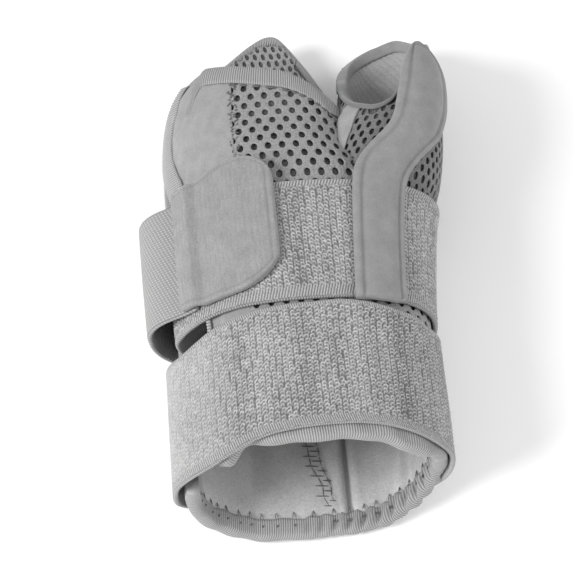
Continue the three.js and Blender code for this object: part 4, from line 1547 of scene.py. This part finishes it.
class BraceStitches(bpy.types.Operator):
    """Makes the zigzag at the rim, the ladder seam of the lining, the sewn lines and dark thread dashes that paint
    the shadow in the near hem's gaps
    """

    bl_idname = "brace.stitches"
    bl_label = "Stitches"

    def execute(self, context):
        # The thread's dark tint is partly its own colour and partly painted shade.
        thread = Finish("thread", 0.7)
        thread.colour(thread.remap(thread.noise(thread.place(), 4.0), 0.3, 0.7, 0.85, 1.15), colours().thread)
        thread.bump(thread.noise(thread.place(), 5.0), 0.05)
        self.thread = thread.material
        self.rim_zigzag()
        self.ladder_seam()
        self.hem_gaps()
        self.panel_seam()
        return {"FINISHED"}

    def sew(self, name, slot, *seams):
        """A piece of thread, from one place to the next for pairs of places on the hand's wall. Each seam has their
        angles and places along Y, how far out they lie, the side they face and the thread's thickness."""
        bm = bmesh.new()
        for angles, places, out, up, thickness in seams:
            points = in_row(hand_point(angles, places, out))
            away = in_row(hand_point(angles, places, out + up)) - points
            for start, end, lift in zip(points[::2], points[1::2], away[::2]):
                stitch(bm, start, end, lift, thickness)
        new_piece(name, finished(bm), self.thread, slot)

    def rim_zigzag(self):
        """Small peaks into the lining from the far rim's inner leg, and a dot in the tape under each."""
        angle = np.arange(-176.0, -8.0, 7.6)
        angle = angle + 0.9 * scatter(np.arange(len(angle)), 0 * angle, 0)
        peak, foot, low, half = 8.1, 5.7, 3.0, 0.9
        pairs = np.stack([angle - half, angle, angle, angle + half], -1).ravel()
        deep = rim_edge(pairs) + np.tile([foot, peak, peak, foot], len(angle))
        dots = paired(angle - 0.5, angle + 0.3)
        dots_deep = rim_edge(dots) + low + np.tile([0, 0.9], len(angle))
        self.sew(
            "rim_zigzag",
            "lining",
            (pairs, deep, np.tile([-0.5, -0.1, -0.1, -0.5], len(angle)), -1, 0.24),
            (dots, dots_deep, 0 * dots - 0.62, -1, 0.55),
        )

    def ladder_seam(self):
        """A ladder of thread where two cuts of lining meet, and the threads along it."""
        y = np.arange(5.6, 70.0, 3.4)
        seam = lining_seam(y) + 0.8 * scatter(np.arange(len(y)), 0 * y, 1)
        seams = []
        for left, right, later in ((-4.2, 1.0, 0.0), (-1.6, 2.2, 1.6)):
            rungs = paired(seam + left, seam + right)
            seams.append((rungs, paired(y + later + 0.5, y + later), 0 * rungs - 0.05, -1, 0.42))
        for side in (-1.6, 1.6):
            rails = paired(seam[:-1] + side, seam[1:] + side)
            seams.append((rails, paired(y[:-1], y[1:]), 0 * rails - 0.02, -1, 0.3))
        self.sew("ladder_seam", "lining", *seams)

    def hem_gaps(self):
        """Dark thread dashes along the near hem's tape: a painted shadow of the slots where the net pulls away under
        it.
        """
        start = np.arange(44.0, SMOOTH_TO_MESH, 5.9)
        pairs = paired(start, start + 4.0)
        self.sew("hem_gaps", "binding", (pairs, finger_edge(pairs) - 9.5, 0 * pairs + PANEL_OUT + 0.3, 1, 0.9))

    def panel_seam(self):
        """Uneven notches down the seam between the smooth panel and the net."""
        y = np.arange(98.0, 148.0, 0.8)
        k = np.arange(len(y))
        angle = SMOOTH_TO_MESH - 1.2 + 2.2 * scatter(k, 0 * k, 2)
        turn, long = 1.4 * scatter(k, 0 * k, 3), 0.5 + 0.4 * scatter(k, 0 * k + 1, 0)
        pairs, places = paired(angle - turn, angle + turn), paired(y - long, y + long)
        self.sew("panel_seam", "brushed_panel", (pairs, places, 0 * pairs + PANEL_OUT + 0.2, 1, 0.5))


# Stage
AIM = Vector((-0.00704, -0.01826, 0.024))
LENS = 104.84
SENSOR = 36
SHIFT_X = 0.0035
CLIP = (0.01, 20)
FLOOR_RADIUS = 6
LIGHTS = (("key", (-0.8, -0.3, 0.6), 0.5), ("fill", (0.7, -0.3, 0.6), 0.9))


def turned_to(item, way):
    item.rotation_mode = "QUATERNION"
    item.rotation_quaternion = way.to_track_quat("-Z", "Y")


def soft_light(name, place, size, power):
    light = bpy.data.lights.new(name, "AREA")
    light.shape = "DISK"
    light.size = size
    light.energy = power
    lamp = bpy.data.objects.new(name, light)
    lamp.location = place
    turned_to(lamp, AIM - Vector(place))
    bpy.context.scene.collection.objects.link(lamp)


class BraceStageSetup(bpy.types.Operator):
    """Makes the camera, the lights and the floor"""

    bl_idname = "brace.stage"
    bl_label = "Stage"

    def execute(self, context):
        scene = context.scene
        stage = scene.brace_stage
        camera = bpy.data.cameras.new("Camera")
        camera.lens = LENS
        camera.sensor_width = SENSOR
        camera.shift_x = SHIFT_X
        camera.clip_start, camera.clip_end = CLIP
        holder = bpy.data.objects.new("Camera", camera)
        flat = math.cos(stage.elevation)
        turn = stage.azimuth
        back = Vector((math.sin(turn) * flat, -math.cos(turn) * flat, math.sin(stage.elevation)))
        holder.location = AIM + back * stage.distance
        turned_to(holder, -back)
        scene.collection.objects.link(holder)
        scene.camera = holder

        bm = bmesh.new()
        bmesh.ops.create_circle(bm, cap_ends=True, segments=64, radius=FLOOR_RADIUS)
        mesh = finished(bm)
        floor = bpy.data.objects.new("floor", mesh)
        scene.collection.objects.link(floor)
        paint = Finish("floor", 0.9)
        cloud = paint.noise(paint.place(), 0.01)
        paint.colour(paint.remap(cloud, 0.0, 1.0, 0.99, 1.01), colours().floor)
        mesh.materials.append(paint.material)

        for name, place, size in LIGHTS:
            soft_light(name, place, size, getattr(stage, name))
        world = bpy.data.worlds.new("sky")
        world.use_nodes = True
        sky = world.node_tree.nodes["Background"]
        sky.inputs["Color"].default_value = (1, 1, 1, 1)
        sky.inputs["Strength"].default_value = stage.sky
        scene.world = world
        scene.view_settings.view_transform = "Standard"
        return {"FINISHED"}


MAKERS = (
    BraceLining,
    BraceSmoothPanel,
    BraceAirMesh,
    BraceBindings,
    BraceHookTab,
    BraceWristStrap,
    BraceLoopBand,
    BraceClosingStrap,
    BraceStayCover,
    BraceStitches,
    BraceStageSetup,
)
SETTINGS = (("brace_colours", BraceColours), ("brace_sizes", BraceSizes), ("brace_stage", BraceStage))


class BracePanel(bpy.types.Panel):
    """Lists the makers of the brace's pieces and their settings"""

    bl_idname = "VIEW3D_PT_brace"
    bl_label = "Thumb Brace"
    bl_space_type = "VIEW_3D"
    bl_region_type = "UI"
    bl_category = "Brace"

    def draw(self, context):
        for maker in MAKERS:
            self.layout.operator(maker.bl_idname)
        for name, group in SETTINGS:
            box = self.layout.box()
            for key in group.__annotations__:
                box.prop(getattr(context.scene, name), key)


def register():
    for _, group in SETTINGS:
        bpy.utils.register_class(group)
    for name, group in SETTINGS:
        setattr(bpy.types.Scene, name, bpy.props.PointerProperty(type=group))
    for maker in (*MAKERS, BracePanel):
        bpy.utils.register_class(maker)


def unregister():
    for maker in reversed((*MAKERS, BracePanel)):
        bpy.utils.unregister_class(maker)
    for name, _ in SETTINGS:
        delattr(bpy.types.Scene, name)
    for _, group in reversed(SETTINGS):
        bpy.utils.unregister_class(group)


def main():
    register()
    for maker in MAKERS:
        group, name = maker.bl_idname.split(".")
        getattr(getattr(bpy.ops, group), name)()


if __name__ == "__main__":
    main()
